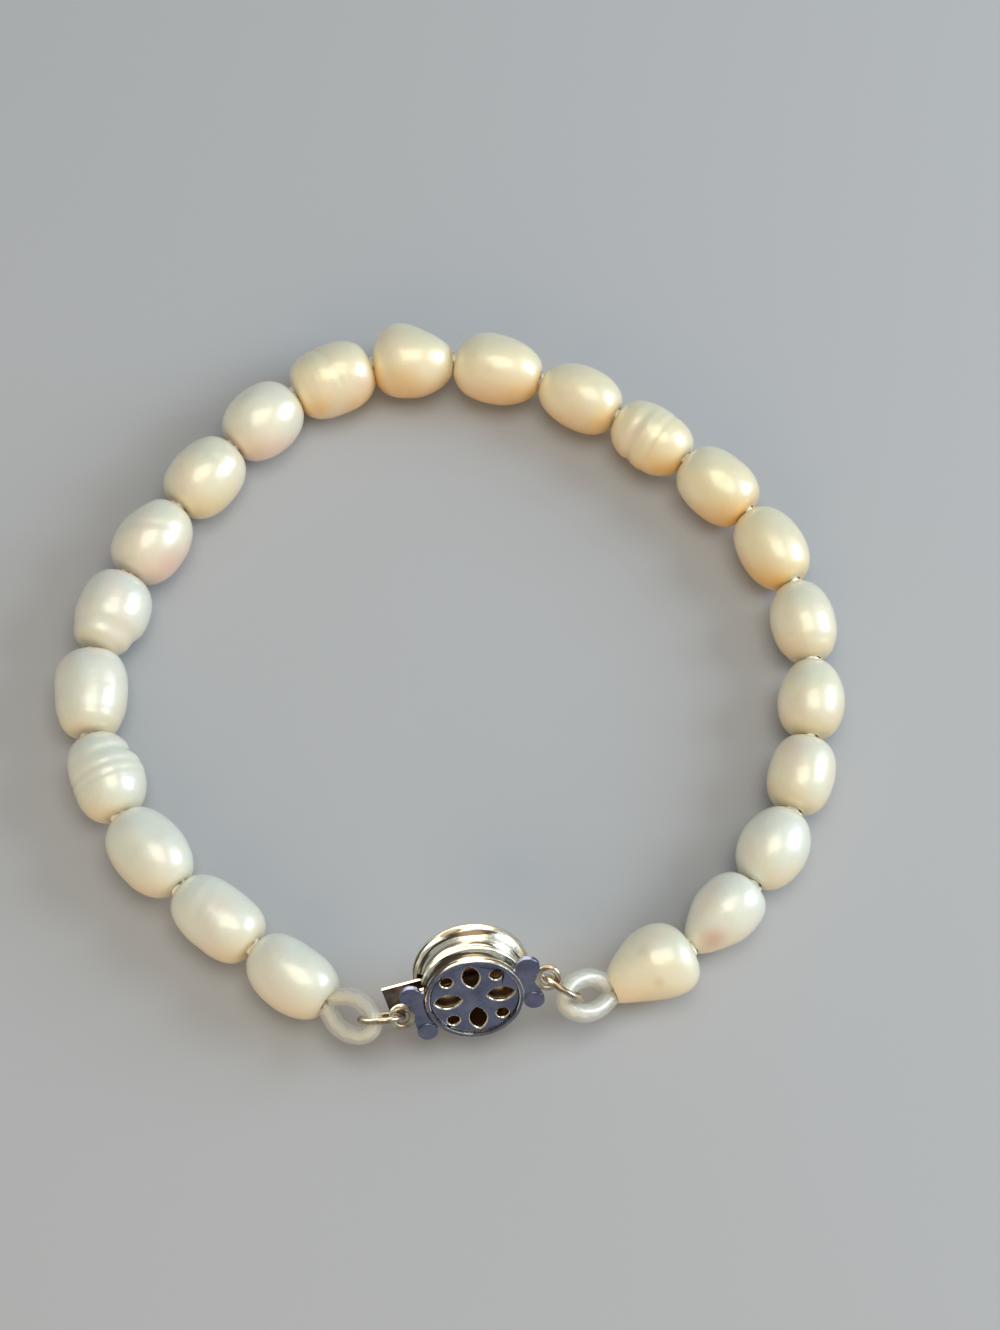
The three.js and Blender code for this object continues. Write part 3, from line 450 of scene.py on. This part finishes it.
# Sleeves: short lengths of clear flexible tube over the thread's end loops, so that the silk
# doesn't chafe on the jump rings. Each is bent back on itself beside the mouth of a pearl.
bends = [
    {"side": "left", "centre": (-6.893, -29.829, 3.913), "heading": 145.0, "slope": -22.2, "roll": -24.0},
    {"side": "right", "centre": (10.207, -28.205, 4.461), "heading": 21.0, "slope": -32.2, "roll": 24.0},
]
sleeve_radius = 0.75
sleeve_sides = 32
sleeve_wall = 0.25
# A sleeve's middle line in its own plane, in mm: x runs from its centre to the pearl and y across.
bend_width = 1.33
bend_middle = 0.7
bend_reach = 2.25
leg_length = 2.95
leg_offset = 0.5
widest_handle = Vector((0.9, 0))
leg_end_handle = Vector((-0.8, 0.5))
bend_steps = 40
leg_steps = 14

tube = new_material("clear tube", {
    "Base Color": (0.78, 0.78, 0.72, 1), "Roughness": 0.16, "IOR": 1.6, "Alpha": 0.34,
    "Coat Weight": 1.0, "Coat Roughness": 0.12})


def heading_vector(heading, pitch):
    """A unit vector, turned anticlockwise from +X and raised."""
    level = math.cos(math.radians(pitch))
    turn = math.radians(heading)
    return Vector((level * math.cos(turn), level * math.sin(turn), math.sin(math.radians(pitch))))


def bend_points(bend):
    """Middle line of a sleeve in metres: up one bowed leg, round the bend and back down the other."""
    along = heading_vector(bend["heading"], bend["slope"])
    level = heading_vector(bend["heading"] + 90, 0)
    roll = math.radians(bend["roll"])
    across = level * math.cos(roll) + along.cross(level) * math.sin(roll)
    widest = Vector((bend_middle, bend_width))
    near_widest = widest + widest_handle
    leg_end = Vector((leg_length, leg_offset))
    near_end = leg_end + leg_end_handle
    leg = []
    for step in range(leg_steps):
        share = step / leg_steps
        leg.append(leg_end * (1 - share) ** 3 + near_end * 3 * share * (1 - share) ** 2
                   + near_widest * 3 * share ** 2 * (1 - share) + widest * share ** 3)
    flat = [(point.x, point.y) for point in leg]
    for step in range(bend_steps + 1):
        angle = math.pi * step / bend_steps
        flat.append((bend_middle - bend_reach * math.sin(angle), bend_width * math.cos(angle)))
    flat += [(point.x, -point.y) for point in reversed(leg)]
    return [(Vector(bend["centre"]) + along * x + across * y) / 1000 for x, y in flat]


def resampled(points, step):
    """The same line with its points a fixed step apart."""
    spaced = [points[0]]
    for start, end in zip(points, points[1:]):
        count = max(1, round((end - start).length / step))
        spaced += [start.lerp(end, part / count) for part in range(1, count + 1)]
    return spaced


def swept(points, profile, twist=0.0):
    """A mesh of a profile swept along a line in metres. twist is in radians for each point."""
    outline = bpy.data.curves.new("outline", "CURVE")
    outline.dimensions = "2D"
    edge = outline.splines.new("POLY")
    edge.points.add(len(profile) - 1)
    for corner, (x, y) in zip(edge.points, profile):
        corner.co = (x / 1000, y / 1000, 0, 1)
    edge.use_cyclic_u = True
    outline_object = bpy.data.objects.new("outline", outline)
    bpy.context.collection.objects.link(outline_object)
    line = bpy.data.curves.new("line", "CURVE")
    line.dimensions = "3D"
    line.twist_mode = "MINIMUM"
    line.use_fill_caps = True
    run = line.splines.new("POLY")
    run.points.add(len(points) - 1)
    for place, (knot, point) in enumerate(zip(run.points, points)):
        knot.co = (*point, 1)
        knot.tilt = place * twist
    line.bevel_mode = "OBJECT"
    line.bevel_object = outline_object
    line_object = bpy.data.objects.new("line", line)
    bpy.context.collection.objects.link(line_object)
    bpy.context.view_layer.update()
    worked_out = bpy.context.evaluated_depsgraph_get()
    solid = bpy.data.meshes.new_from_object(line_object.evaluated_get(worked_out))
    bm = bmesh.new()
    bm.from_mesh(solid)
    for used in (line_object, outline_object):
        bpy.data.objects.remove(used)
    bpy.data.curves.remove(line)
    bpy.data.curves.remove(outline)
    bpy.data.meshes.remove(solid)
    return bm


def ring_of(radius, steps):
    """Corners of a round profile in mm."""
    return [(radius * math.cos(2 * math.pi * step / steps), radius * math.sin(2 * math.pi * step / steps))
            for step in range(steps)]


for bend in bends:
    shape = swept(bend_points(bend), ring_of(sleeve_radius, sleeve_sides))
    caps = [face for face in shape.faces if len(face.verts) > 4]
    bmesh.ops.delete(shape, geom=caps, context="FACES_ONLY")
    sleeve = add_piece(f"clear_sleeve_{bend['side']}", shape, Matrix.Identity(4), [tube],
                       node=f"sleeve_{bend['side']}", slot="sleeve", sharp=60)
    wall = sleeve.modifiers.new("wall", "SOLIDIFY")
    wall.thickness = sleeve_wall / 1000
    wall.offset = -1

# Thread: white silk of three plies, twisted, that runs through every pearl with a tight overhand
# knot between each two. It comes out of the outer pearls as a loop, laid double in each sleeve.
ply_twist = 0.62
loop_twist = ply_twist / 4
ply_corners = 18
ply_groove = 0.14
thread_radius = 0.25
thread_step = 0.0001
loop_radius = 0.40
# Each knot is a strand wound twice round a soft core with three crossings. Sizes are in mm.
knot_strand = 0.2
knot_sides = 10
knot_turns = {"out": 0.40, "in_and_out": 0.20, "along": 0.26, "steps": 60}
knot_core = 0.46
knot_spread = (0.8, 1.35, 1.35, 1)
silk = new_material("twisted silk", {"Roughness": 0.42, "Sheen Weight": 0.4, "Sheen Roughness": 0.3})
silk_fibres = clouded(silk, add_node(silk, "TexCoord", {}).outputs["Object"], 9000, 3)
dress(silk, {"Base Color": blended(silk, silk_fibres, (0.84, 0.79, 0.66), (0.96, 0.93, 0.83))})

left_bend, right_bend = [bend_points(bend) for bend in bends]
first_start, first_end = pearl_ends[0]
last_start, last_end = pearl_ends[-1]
left_fork = first_start + (first_end - first_start).normalized() * end_mouth_depth / 1000
right_fork = last_end + (last_start - last_end).normalized() * end_mouth_depth / 1000
knots = [(end + start) / 2 for (_, end), (start, _) in zip(pearl_ends, pearl_ends[1:])]
route = [left_fork, *left_bend, left_fork, *knots, right_fork, *right_bend, right_fork]


def ply_outline(radius):
    """Corners of the thread's three-ply profile in mm."""
    corners = []
    for step in range(ply_corners):
        angle = 2 * math.pi * step / ply_corners
        lobe = radius * (1 - ply_groove + ply_groove * math.cos(3 * angle))
        corners.append((lobe * math.cos(angle), lobe * math.sin(angle)))
    return corners


def joined(bm, extra):
    """Adds the second shape to the first."""
    extra_mesh = bpy.data.meshes.new("extra")
    extra.to_mesh(extra_mesh)
    extra.free()
    bm.from_mesh(extra_mesh)
    bpy.data.meshes.remove(extra_mesh)


thread = swept(resampled(route, thread_step), ply_outline(thread_radius), ply_twist)
for loop in (left_bend, right_bend):
    joined(thread, swept(resampled(loop, thread_step), ply_outline(loop_radius), loop_twist))
for knot, (_, end), (start, _) in zip(knots, pearl_ends, pearl_ends[1:]):
    along = (start - end).normalized()
    side = sky.cross(along).normalized()
    up = along.cross(side)
    turns = []
    for step in range(knot_turns["steps"] + 1):
        angle = 2 * math.pi * step / knot_turns["steps"]
        out = knot_turns["out"] + knot_turns["in_and_out"] * math.cos(3 * angle)
        turns.append(knot + (along * knot_turns["along"] * math.sin(3 * angle)
                             + side * out * math.cos(2 * angle) + up * out * math.sin(2 * angle)) / 1000)
    joined(thread, swept(turns, ring_of(knot_strand, knot_sides)))
    core = bmesh.new()
    bmesh.ops.create_uvsphere(core, u_segments=12, v_segments=8, radius=knot_core,
                              matrix=place_in_frame(along, side, up, knot) @ Matrix.Diagonal(knot_spread))
    joined(thread, core)
add_piece("silk_thread", thread, Matrix.Identity(4), [silk], node="thread", slot="silk", sharp=60)

# Silver: polished and a little toned, warm on the turned sides. The sheet's side walls and edges have a
# painted bright warm reflection and its flat plates a painted dark blue-grey one.
# The wire is worn, and the inside of the clasp is brown with age.
least_rough = 0.7
most_rough = 1.4


def silver(name, color, shadow, roughness):
    """Polished silver with a cloudy tone and fine rubbed marks."""
    material = new_material(name, {"Metallic": 1.0})
    place = add_node(material, "TexCoord", {}).outputs["Object"]
    tone = ranged(material, clouded(material, place, 700, 5), 0.35, 0.65)
    rubbed = clouded(material, place, 5000, 3)
    relief = add_node(material, "Bump", {"Strength": 0.15, "Distance": 0.00003, "Height": rubbed})
    dress(material, {
        "Base Color": blended(material, tone, shadow, color),
        "Roughness": ranged(material, rubbed, 0.0, 1.0, roughness * least_rough, roughness * most_rough),
        "Normal": relief.outputs["Normal"]})
    return material


# Painted reflections: bright and warm for side walls and edges, dark blue-grey for flat faces.
silver_painted_bright_warm = silver("silver painted with a bright warm reflection", (0.90, 0.84, 0.72), (0.70, 0.60, 0.44), 0.16)
silver_painted_dark_blue = silver("silver painted with a dark blue-grey reflection", (0.24, 0.25, 0.35), (0.15, 0.16, 0.24), 0.26)
brown_silver = silver("toned silver", (0.76, 0.52, 0.30), (0.42, 0.25, 0.14), 0.30)
wire_silver = silver("worn silver wire", (0.86, 0.76, 0.58), (0.30, 0.22, 0.15), 0.20)
# The tab's flat faces are painted dark as shade.
silver_painted_shade = silver("silver painted dark as shade", (0.20, 0.16, 0.14), (0.08, 0.06, 0.05), 0.30)

# Jump rings: round silver wire bent to a ring with its ends butted. Each passes through an eye of
# the clasp and the bend of a sleeve.
ring_radius = 1.65
wire_radius = 0.25
butt_gap = 3.0
for side in ("left", "right"):
    node = f"jump_ring_{side}"
    corners = [vertex.co for vertex in frame["nodes"][node].data.vertices]
    low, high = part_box(node)
    middle = (Vector(low) + Vector(high)) / 2
    first = max(corners, key=lambda corner: (corner - middle).length) - middle
    first.normalize()
    second = max(corners, key=lambda corner: (corner - middle).cross(first).length) - middle
    second = (second - first * second.dot(first)).normalized()
    shape = bmesh.new()
    section = Matrix.Translation((ring_radius, 0, 0)) @ Matrix.Rotation(math.pi / 2, 4, "X")
    bmesh.ops.create_circle(shape, cap_ends=True, radius=wire_radius, segments=20, matrix=section)
    bmesh.ops.spin(shape, geom=shape.verts[:] + shape.edges[:] + shape.faces[:], cent=(0, 0, 0),
                   axis=(0, 0, 1), angle=math.radians(360 - butt_gap), steps=72)
    turn = place_in_frame(first, second, first.cross(second), middle)
    add_piece(f"wire_ring_{side}", shape, turn, [wire_silver], node=node, slot="silver", sharp=50)

# Clasp: where it stands. Its own frame has X along it, Y up the back plate and Z out of the plate.
# It runs from one jump ring to the other, turned anticlockwise from +X and raised by these degrees.
clasp_heading = 12.5
clasp_rise = 10
plate_mount = frame["record"]["mounts"][0]
plate_centre = Vector(plate_mount["pos_m"])
out_of_plate = Vector(plate_mount["axis"]).normalized()
clasp_along = heading_vector(clasp_heading, clasp_rise)
clasp_along = (clasp_along - out_of_plate * clasp_along.dot(out_of_plate)).normalized()
clasp_place = place_in_frame(clasp_along, out_of_plate.cross(clasp_along), out_of_plate, plate_centre)

# Box of the clasp: a turned silver case with rounded ridges and an overhanging lip, closed by a
# domed front and open at the left for the tongue. Its back plate is set inside a raised rim.
plate_radius = 3.8
plate_thickness = 0.35
rim_width = 0.35
rim_height = 0.15
rim_rounding = 0.06
rim_inner_drop = 0.05
lip_radius = 4.57
box_depth = 4.0
box_wall = 0.5
cover_thickness = 0.4
cover_dome = 0.3
cover_curve = [{"out": 0.7, "rise": 0.5}, {"out": 0.35, "rise": 0.88}, {"out": 0.0, "rise": 1.0}]
turned_steps = 112
# The turned wall. depth: share of the box's depth. step: share of the way from the plate to the lip.
wall_steps = [
    {"depth": 0.04, "step": 0.04}, {"depth": 0.11, "step": 0.0}, {"depth": 0.15, "step": -0.24},
    {"depth": 0.19, "step": -0.3}, {"depth": 0.23, "step": -0.1}, {"depth": 0.27, "step": 0.26},
    {"depth": 0.32, "step": 0.38}, {"depth": 0.37, "step": 0.28}, {"depth": 0.41, "step": 0.02},
    {"depth": 0.46, "step": -0.12}, {"depth": 0.50, "step": -0.10}, {"depth": 0.55, "step": 0.08},
    {"depth": 0.61, "step": 0.42}, {"depth": 0.67, "step": 0.75}, {"depth": 0.74, "step": 0.95},
    {"depth": 0.81, "step": 1.0}, {"depth": 0.88, "step": 0.94}, {"depth": 0.94, "step": 0.72},
    {"depth": 0.98, "step": 0.45}, {"depth": 1.0, "step": 0.2},
]
# The tongue's sizes, which the slot in the wall has to clear. Heights are from the plate's face.
tongue_width = 2.8
tongue_sheet = 0.25
tongue_reach = 2.5
tongue_top = -plate_thickness - 0.5
spring_height = 1.45
tongue_bottom = tongue_top - spring_height
tongue_clearance = 0.3


def turned(outline, steps):
    """A closed outline of (radius, height) turned round Z. Points at radius 0 lie on the axis."""
    bm = bmesh.new()
    points = [bm.verts.new((radius, 0, height)) for radius, height in outline]
    edges = [bm.edges.new((a, b)) for a, b in zip(points, points[1:])]
    if outline[0][0] > 0:
        edges.append(bm.edges.new((points[-1], points[0])))
    bmesh.ops.spin(bm, geom=points + edges, cent=(0, 0, 0), axis=(0, 0, 1), angle=2 * math.pi,
                   steps=steps, use_merge=True)
    bmesh.ops.remove_doubles(bm, verts=bm.verts, dist=1e-4)
    bmesh.ops.recalc_face_normals(bm, faces=bm.faces)
    return bm


def block(low, high):
    """A box between two corners."""
    size = [b - a for a, b in zip(low, high)]
    middle = [(a + b) / 2 for a, b in zip(low, high)]
    bm = bmesh.new()
    bmesh.ops.create_cube(bm, size=1, matrix=Matrix.Translation(middle) @ Matrix.Diagonal((*size, 1)))
    return bm


def disc(x, y, radius, top, bottom, steps):
    """A round plug that stands along Z."""
    bm = bmesh.new()
    middle = Matrix.Translation((x, y, (top + bottom) / 2))
    bmesh.ops.create_cone(bm, cap_ends=True, segments=steps, radius1=radius, radius2=radius,
                          depth=top - bottom, matrix=middle)
    return bm


def combined(body, tools, operation):
    """The body with each tool cut out of it or joined to it."""
    body_mesh = bpy.data.meshes.new("body")
    body.to_mesh(body_mesh)
    body.free()
    body_object = bpy.data.objects.new("body", body_mesh)
    bpy.context.collection.objects.link(body_object)
    tool_objects = []
    for tool in tools:
        tool_mesh = bpy.data.meshes.new("tool")
        tool.to_mesh(tool_mesh)
        tool.free()
        tool_object = bpy.data.objects.new("tool", tool_mesh)
        bpy.context.collection.objects.link(tool_object)
        step = body_object.modifiers.new("step", "BOOLEAN")
        step.operation = operation
        step.solver = "EXACT"
        step.object = tool_object
        tool_objects.append(tool_object)
    bpy.context.view_layer.update()
    worked_out = bpy.context.evaluated_depsgraph_get()
    done = bpy.data.meshes.new_from_object(body_object.evaluated_get(worked_out))
    result = bmesh.new()
    result.from_mesh(done)
    for used in [body_object, *tool_objects]:
        mesh = used.data
        bpy.data.objects.remove(used)
        bpy.data.meshes.remove(mesh)
    bpy.data.meshes.remove(done)
    return result


lip_step = lip_radius - plate_radius
outside = [(plate_radius + row["step"] * lip_step, -row["depth"] * box_depth) for row in wall_steps]
hollow_radius = plate_radius - box_wall
rim_inside = plate_radius - rim_width
case_outline = [
    (rim_inside, -plate_thickness), (rim_inside, rim_height - rim_inner_drop),
    (rim_inside + rim_rounding, rim_height), (plate_radius - rim_rounding, rim_height),
    (plate_radius, rim_height - rim_rounding), *outside,
    *((plate_radius * point["out"], -box_depth - cover_dome * point["rise"]) for point in cover_curve),
]
inside = [(0, cover_thickness - box_depth), (hollow_radius, cover_thickness - box_depth),
          (hollow_radius, -plate_thickness)]
case = turned(case_outline + inside, turned_steps)
slot_half = tongue_width / 2 + tongue_clearance
slot_block = block((-lip_radius - box_wall, -slot_half, tongue_bottom - tongue_clearance),
                   (-plate_radius / 2, slot_half, tongue_top + tongue_clearance))
case = combined(case, [slot_block], "DIFFERENCE")
# The hollow is brown, and the top of the raised rim has the plate's painted dark blue-grey reflection.
for face in case.faces:
    spot = face.calc_center_median()
    if math.hypot(spot.x, spot.y) < hollow_radius + 0.02 and spot.z > -box_depth:
        face.material_index = 1
    if spot.z > 0 and abs(face.normal.z) > 0.9:
        face.material_index = 2
case_silver_painted_shade = silver("case silver with painted shade", (0.99, 0.93, 0.78), (0.90, 0.82, 0.63), 0.21)
# Painted dark reflections run round the wall as streaks, painted shade darkens two grooves all round, and one
# brown tarnish patch is on the lip.
# Angles are in radians round the case and heights in mm from the plate.
streak_stretch = (0.5, 2.2, 1.0)
painted_groove_shades = [(0.42, 0.0), (0.45, 0.7), (0.49, 0.0), (0.76, 0.0), (0.80, 0.9), (0.85, 0.0)]
patch_place = (1.68, -2.95, 0)
patch_size = (0.25, 0.26, 1)
silver_color = case_silver_painted_shade.node_tree.nodes["Principled BSDF"].inputs["Base Color"].links[0].from_socket
case_parts = add_node(case_silver_painted_shade, "SeparateXYZ", {
    "Vector": own_space(case_silver_painted_shade, plate_centre, clasp_place)}).outputs
turn_angle = add_node(case_silver_painted_shade, "Math", {0: case_parts["Y"], 1: case_parts["X"]}, operation="ARCTAN2")
unrolled = add_node(case_silver_painted_shade, "CombineXYZ", {
    "X": turn_angle.outputs["Value"], "Y": case_parts["Z"]}).outputs["Vector"]
stretched = add_node(case_silver_painted_shade, "Mapping", {"Vector": unrolled, "Scale": streak_stretch}).outputs["Vector"]
# The streaks are painted dark reflections on the wall.
painted_dark_streaks = ranged(case_silver_painted_shade, clouded(case_silver_painted_shade, stretched, 1.3, 4), 0.53, 0.56, 0.0, 0.92)
on_wall = ranged(case_silver_painted_shade, case_parts["Z"], -box_depth * 0.98, -box_depth * 0.93)
painted_wall_streaks = add_node(case_silver_painted_shade, "Math", {0: painted_dark_streaks, 1: on_wall}, operation="MULTIPLY")
# The darkening of the grooves is painted shade.
painted_groove_shade = add_node(case_silver_painted_shade, "ValToRGB", {"Fac": ranged(case_silver_painted_shade, case_parts["Z"], -box_depth, 0.0)})
painted_groove_shade.color_ramp.elements[1].color = (0, 0, 0, 1)
for place, dark in painted_groove_shades:
    painted_groove_shade.color_ramp.elements.new(place).color = (dark, dark, dark, 1)
patch = add_node(case_silver_painted_shade, "Mapping", {
    "Vector": unrolled, "Location": patch_place, "Scale": patch_size}, vector_type="TEXTURE")
from_patch = add_node(case_silver_painted_shade, "VectorMath", {0: patch.outputs["Vector"]}, operation="LENGTH")
tarnish = ranged(case_silver_painted_shade, from_patch.outputs["Value"], 1.1, 0.7, 0.0, 0.85)
# The painted streaks together with the tarnish patch.
marks = add_node(case_silver_painted_shade, "Math", {0: painted_wall_streaks.outputs["Value"], 1: tarnish}, operation="MAXIMUM")
painted_shade_and_tarnish = add_node(case_silver_painted_shade, "Math", {0: marks.outputs["Value"], 1: painted_groove_shade.outputs["Color"]},
                     operation="MAXIMUM")
dress(case_silver_painted_shade, {
    "Base Color": blended(case_silver_painted_shade, painted_shade_and_tarnish.outputs["Value"], silver_color, (0.07, 0.04, 0.02))})
add_piece("clasp_case", case, clasp_place, [case_silver_painted_shade, brown_silver, silver_painted_dark_blue], node="clasp_box",
          slot="silver", sharp=35)

# Back plate: sheet silver pierced with four leaf-shaped petals and four round holes between them.
petal_length = 2.1
petal_width = 1.26
petal_distance = 2.05
petal_turn = -7.3
hole_width = 0.9
hole_distance = 2.7
cut_top = 0.3
cut_bottom = -1.2
# Upper edges sharper than this angle are bevelled, and the holes' bevels and walls have a painted bright warm
# reflection.
bevel_angle = 0.8
bevel_width = 0.19
petals = []
arc_radius = ((petal_length / 2) ** 2 + (petal_width / 2) ** 2) / petal_width
for turn in (0, 90, 180, 270):
    across = [disc(petal_distance, side * (arc_radius - petal_width / 2), arc_radius, cut_top, cut_bottom, 96)
              for side in (-1, 1)]
    petal = combined(across[0], [across[1]], "INTERSECT")
    turned_by = Matrix.Rotation(math.radians(turn + petal_turn), 3, "Z")
    bmesh.ops.rotate(petal, verts=petal.verts, matrix=turned_by)
    petals.append(petal)
holes = []
for turn in (45, 135, 225, 315):
    hole = disc(hole_distance, 0, hole_width / 2, cut_top, cut_bottom, 40)
    turned_by = Matrix.Rotation(math.radians(turn + petal_turn), 3, "Z")
    bmesh.ops.rotate(hole, verts=hole.verts, matrix=turned_by)
    holes.append(hole)
plate = disc(0, 0, rim_inside, 0, -plate_thickness, turned_steps)
plate = combined(plate, petals + holes, "DIFFERENCE")
edge_loops = [edge for edge in plate.edges
              if len(edge.link_faces) == 2 and edge.calc_face_angle(0) > bevel_angle
              and all(vertex.co.z > -0.01 for vertex in edge.verts)]
bmesh.ops.bevel(plate, geom=edge_loops, offset=bevel_width, offset_type="OFFSET", segments=4,
                profile=0.5, affect="EDGES", material=-1)
for face in plate.faces:
    spot = face.calc_center_median()
    if abs(face.normal.z) < 0.95 and math.hypot(spot.x, spot.y) < rim_inside - 0.1:
        face.material_index = 1
add_piece("clasp_plate", plate, clasp_place, [silver_painted_dark_blue, silver_painted_bright_warm], slot="silver", sharp=35)

# Wings: flat plates of sheet silver with two round lobes each, soldered to the case at the right
# and to the tongue at the left. A wire eye stands at the waist of each for the jump ring.
wing_thickness = 0.3
wing_reach = 1.2
wing_overlap = 0.15
wing_root = 0.3
wing_rounding = 0.07
lobe_rise = 0.1
eye_radius = 0.8
eye_wire = 0.25
eye_tilt = 20
# inner: radius of the round edge beside the case. top and bottom: each lobe's distance outside the
# plate, its height and its radius.
wings = [
    {"name": "left", "side": -1, "inner": plate_radius + tongue_clearance / 2,
     "top": (0.8, 1.75, 0.85), "bottom": (0.5, -2.0, 0.8)},
    {"name": "right", "side": 1, "inner": plate_radius - wing_overlap,
     "top": (0.8, 1.54, 0.95), "bottom": (0.5, -1.66, 0.8)},
]
for wing in wings:
    side = wing["side"]
    ends = sorted([side * (plate_radius + wing_reach), side * (plate_radius - wing_root)])
    bar = block((ends[0], wing["bottom"][1], -wing_thickness), (ends[1], wing["top"][1], 0))
    lobes = [disc(side * (plate_radius + out), height, radius, lobe_rise, -wing_thickness, 64)
             for out, height, radius in (wing["top"], wing["bottom"])]
    for solid in (bar, *lobes):
        highest = max(vertex.co.z for vertex in solid.verts)
        rim_edges = [edge for edge in solid.edges
                     if all(vertex.co.z > highest - 0.01 for vertex in edge.verts)]
        bmesh.ops.bevel(solid, geom=rim_edges, offset=wing_rounding, offset_type="OFFSET", segments=3,
                        profile=0.5, affect="EDGES", material=-1)
    sheet = combined(bar, lobes, "UNION")
    cutter = disc(0, 0, wing["inner"], cut_top, -wing_thickness - cut_top, turned_steps)
    sheet = combined(sheet, [cutter], "DIFFERENCE")
    # The wing is all in the silver with the painted dark blue-grey reflection.
    add_piece(f"wing_{wing['name']}", sheet, clasp_place, [silver_painted_dark_blue], slot="silver", sharp=35)
    eye = bmesh.new()
    section = Matrix.Translation((eye_radius, 0, 0)) @ Matrix.Rotation(math.pi / 2, 4, "X")
    bmesh.ops.create_circle(eye, radius=eye_wire, segments=18, matrix=section)
    bmesh.ops.spin(eye, geom=eye.verts[:] + eye.edges[:], cent=(0, 0, 0), axis=(0, 0, 1),
                   angle=2 * math.pi, steps=56, use_merge=True)
    bmesh.ops.rotate(eye, verts=eye.verts, matrix=Matrix.Rotation(math.radians(-eye_tilt), 3, "X"))
    bmesh.ops.translate(eye, verts=eye.verts,
                        vec=(side * (plate_radius + wing_reach + eye_radius), 0, -wing_thickness / 2))
    add_piece(f"eye_{wing['name']}", eye, clasp_place, [wire_silver], slot="silver")

# Tongue: a strip of spring silver folded back on itself, which snaps into the case. Its lower end
# sticks out past the left wing as a tab for the thumb.
tab_reach = 3.1
riser_gap = 0.02
outer_edge = -plate_radius - wing_reach
tab_end = -plate_radius - tab_reach
rise = spring_height / 2
strip_line = [
    (outer_edge, tongue_top), (tongue_reach - tongue_sheet, tongue_top),
    (tongue_reach, tongue_top - tongue_sheet), (tongue_reach - tongue_sheet, tongue_top - rise),
    (-plate_radius, tongue_bottom), (tab_end, tongue_bottom),
    (tab_end, tongue_bottom + tongue_sheet), (-plate_radius, tongue_bottom + tongue_sheet),
    (tongue_reach - 2 * tongue_sheet, tongue_top - rise + tongue_sheet),
    (tongue_reach - 2 * tongue_sheet, tongue_top - tongue_sheet), (outer_edge, tongue_top - tongue_sheet),
]
strip = bmesh.new()
side_face = strip.faces.new([strip.verts.new((x, -tongue_width / 2, z)) for x, z in strip_line])
pulled = bmesh.ops.extrude_face_region(strip, geom=[side_face])
far_side = [item for item in pulled["geom"] if isinstance(item, bmesh.types.BMVert)]
bmesh.ops.translate(strip, verts=far_side, vec=(0, tongue_width, 0))
bmesh.ops.recalc_face_normals(strip, faces=strip.faces)
riser = block((outer_edge, -tongue_width / 2, tongue_top - tongue_sheet),
              (outer_edge + tongue_sheet, tongue_width / 2, -riser_gap))
strip = combined(strip, [riser], "UNION")
# The tab's flat faces are painted dark as shade, the leaf's are brown, and the other faces have the painted
# bright warm reflection.
for face in strip.faces:
    if abs(face.normal.z) > 0.6:
        face.material_index = 2 if face.calc_center_median().x < -plate_radius else 1
add_piece("spring_tongue", strip, clasp_place, [silver_painted_bright_warm, brown_silver, silver_painted_shade], node="clasp_tongue",
          slot="silver", sharp=30)
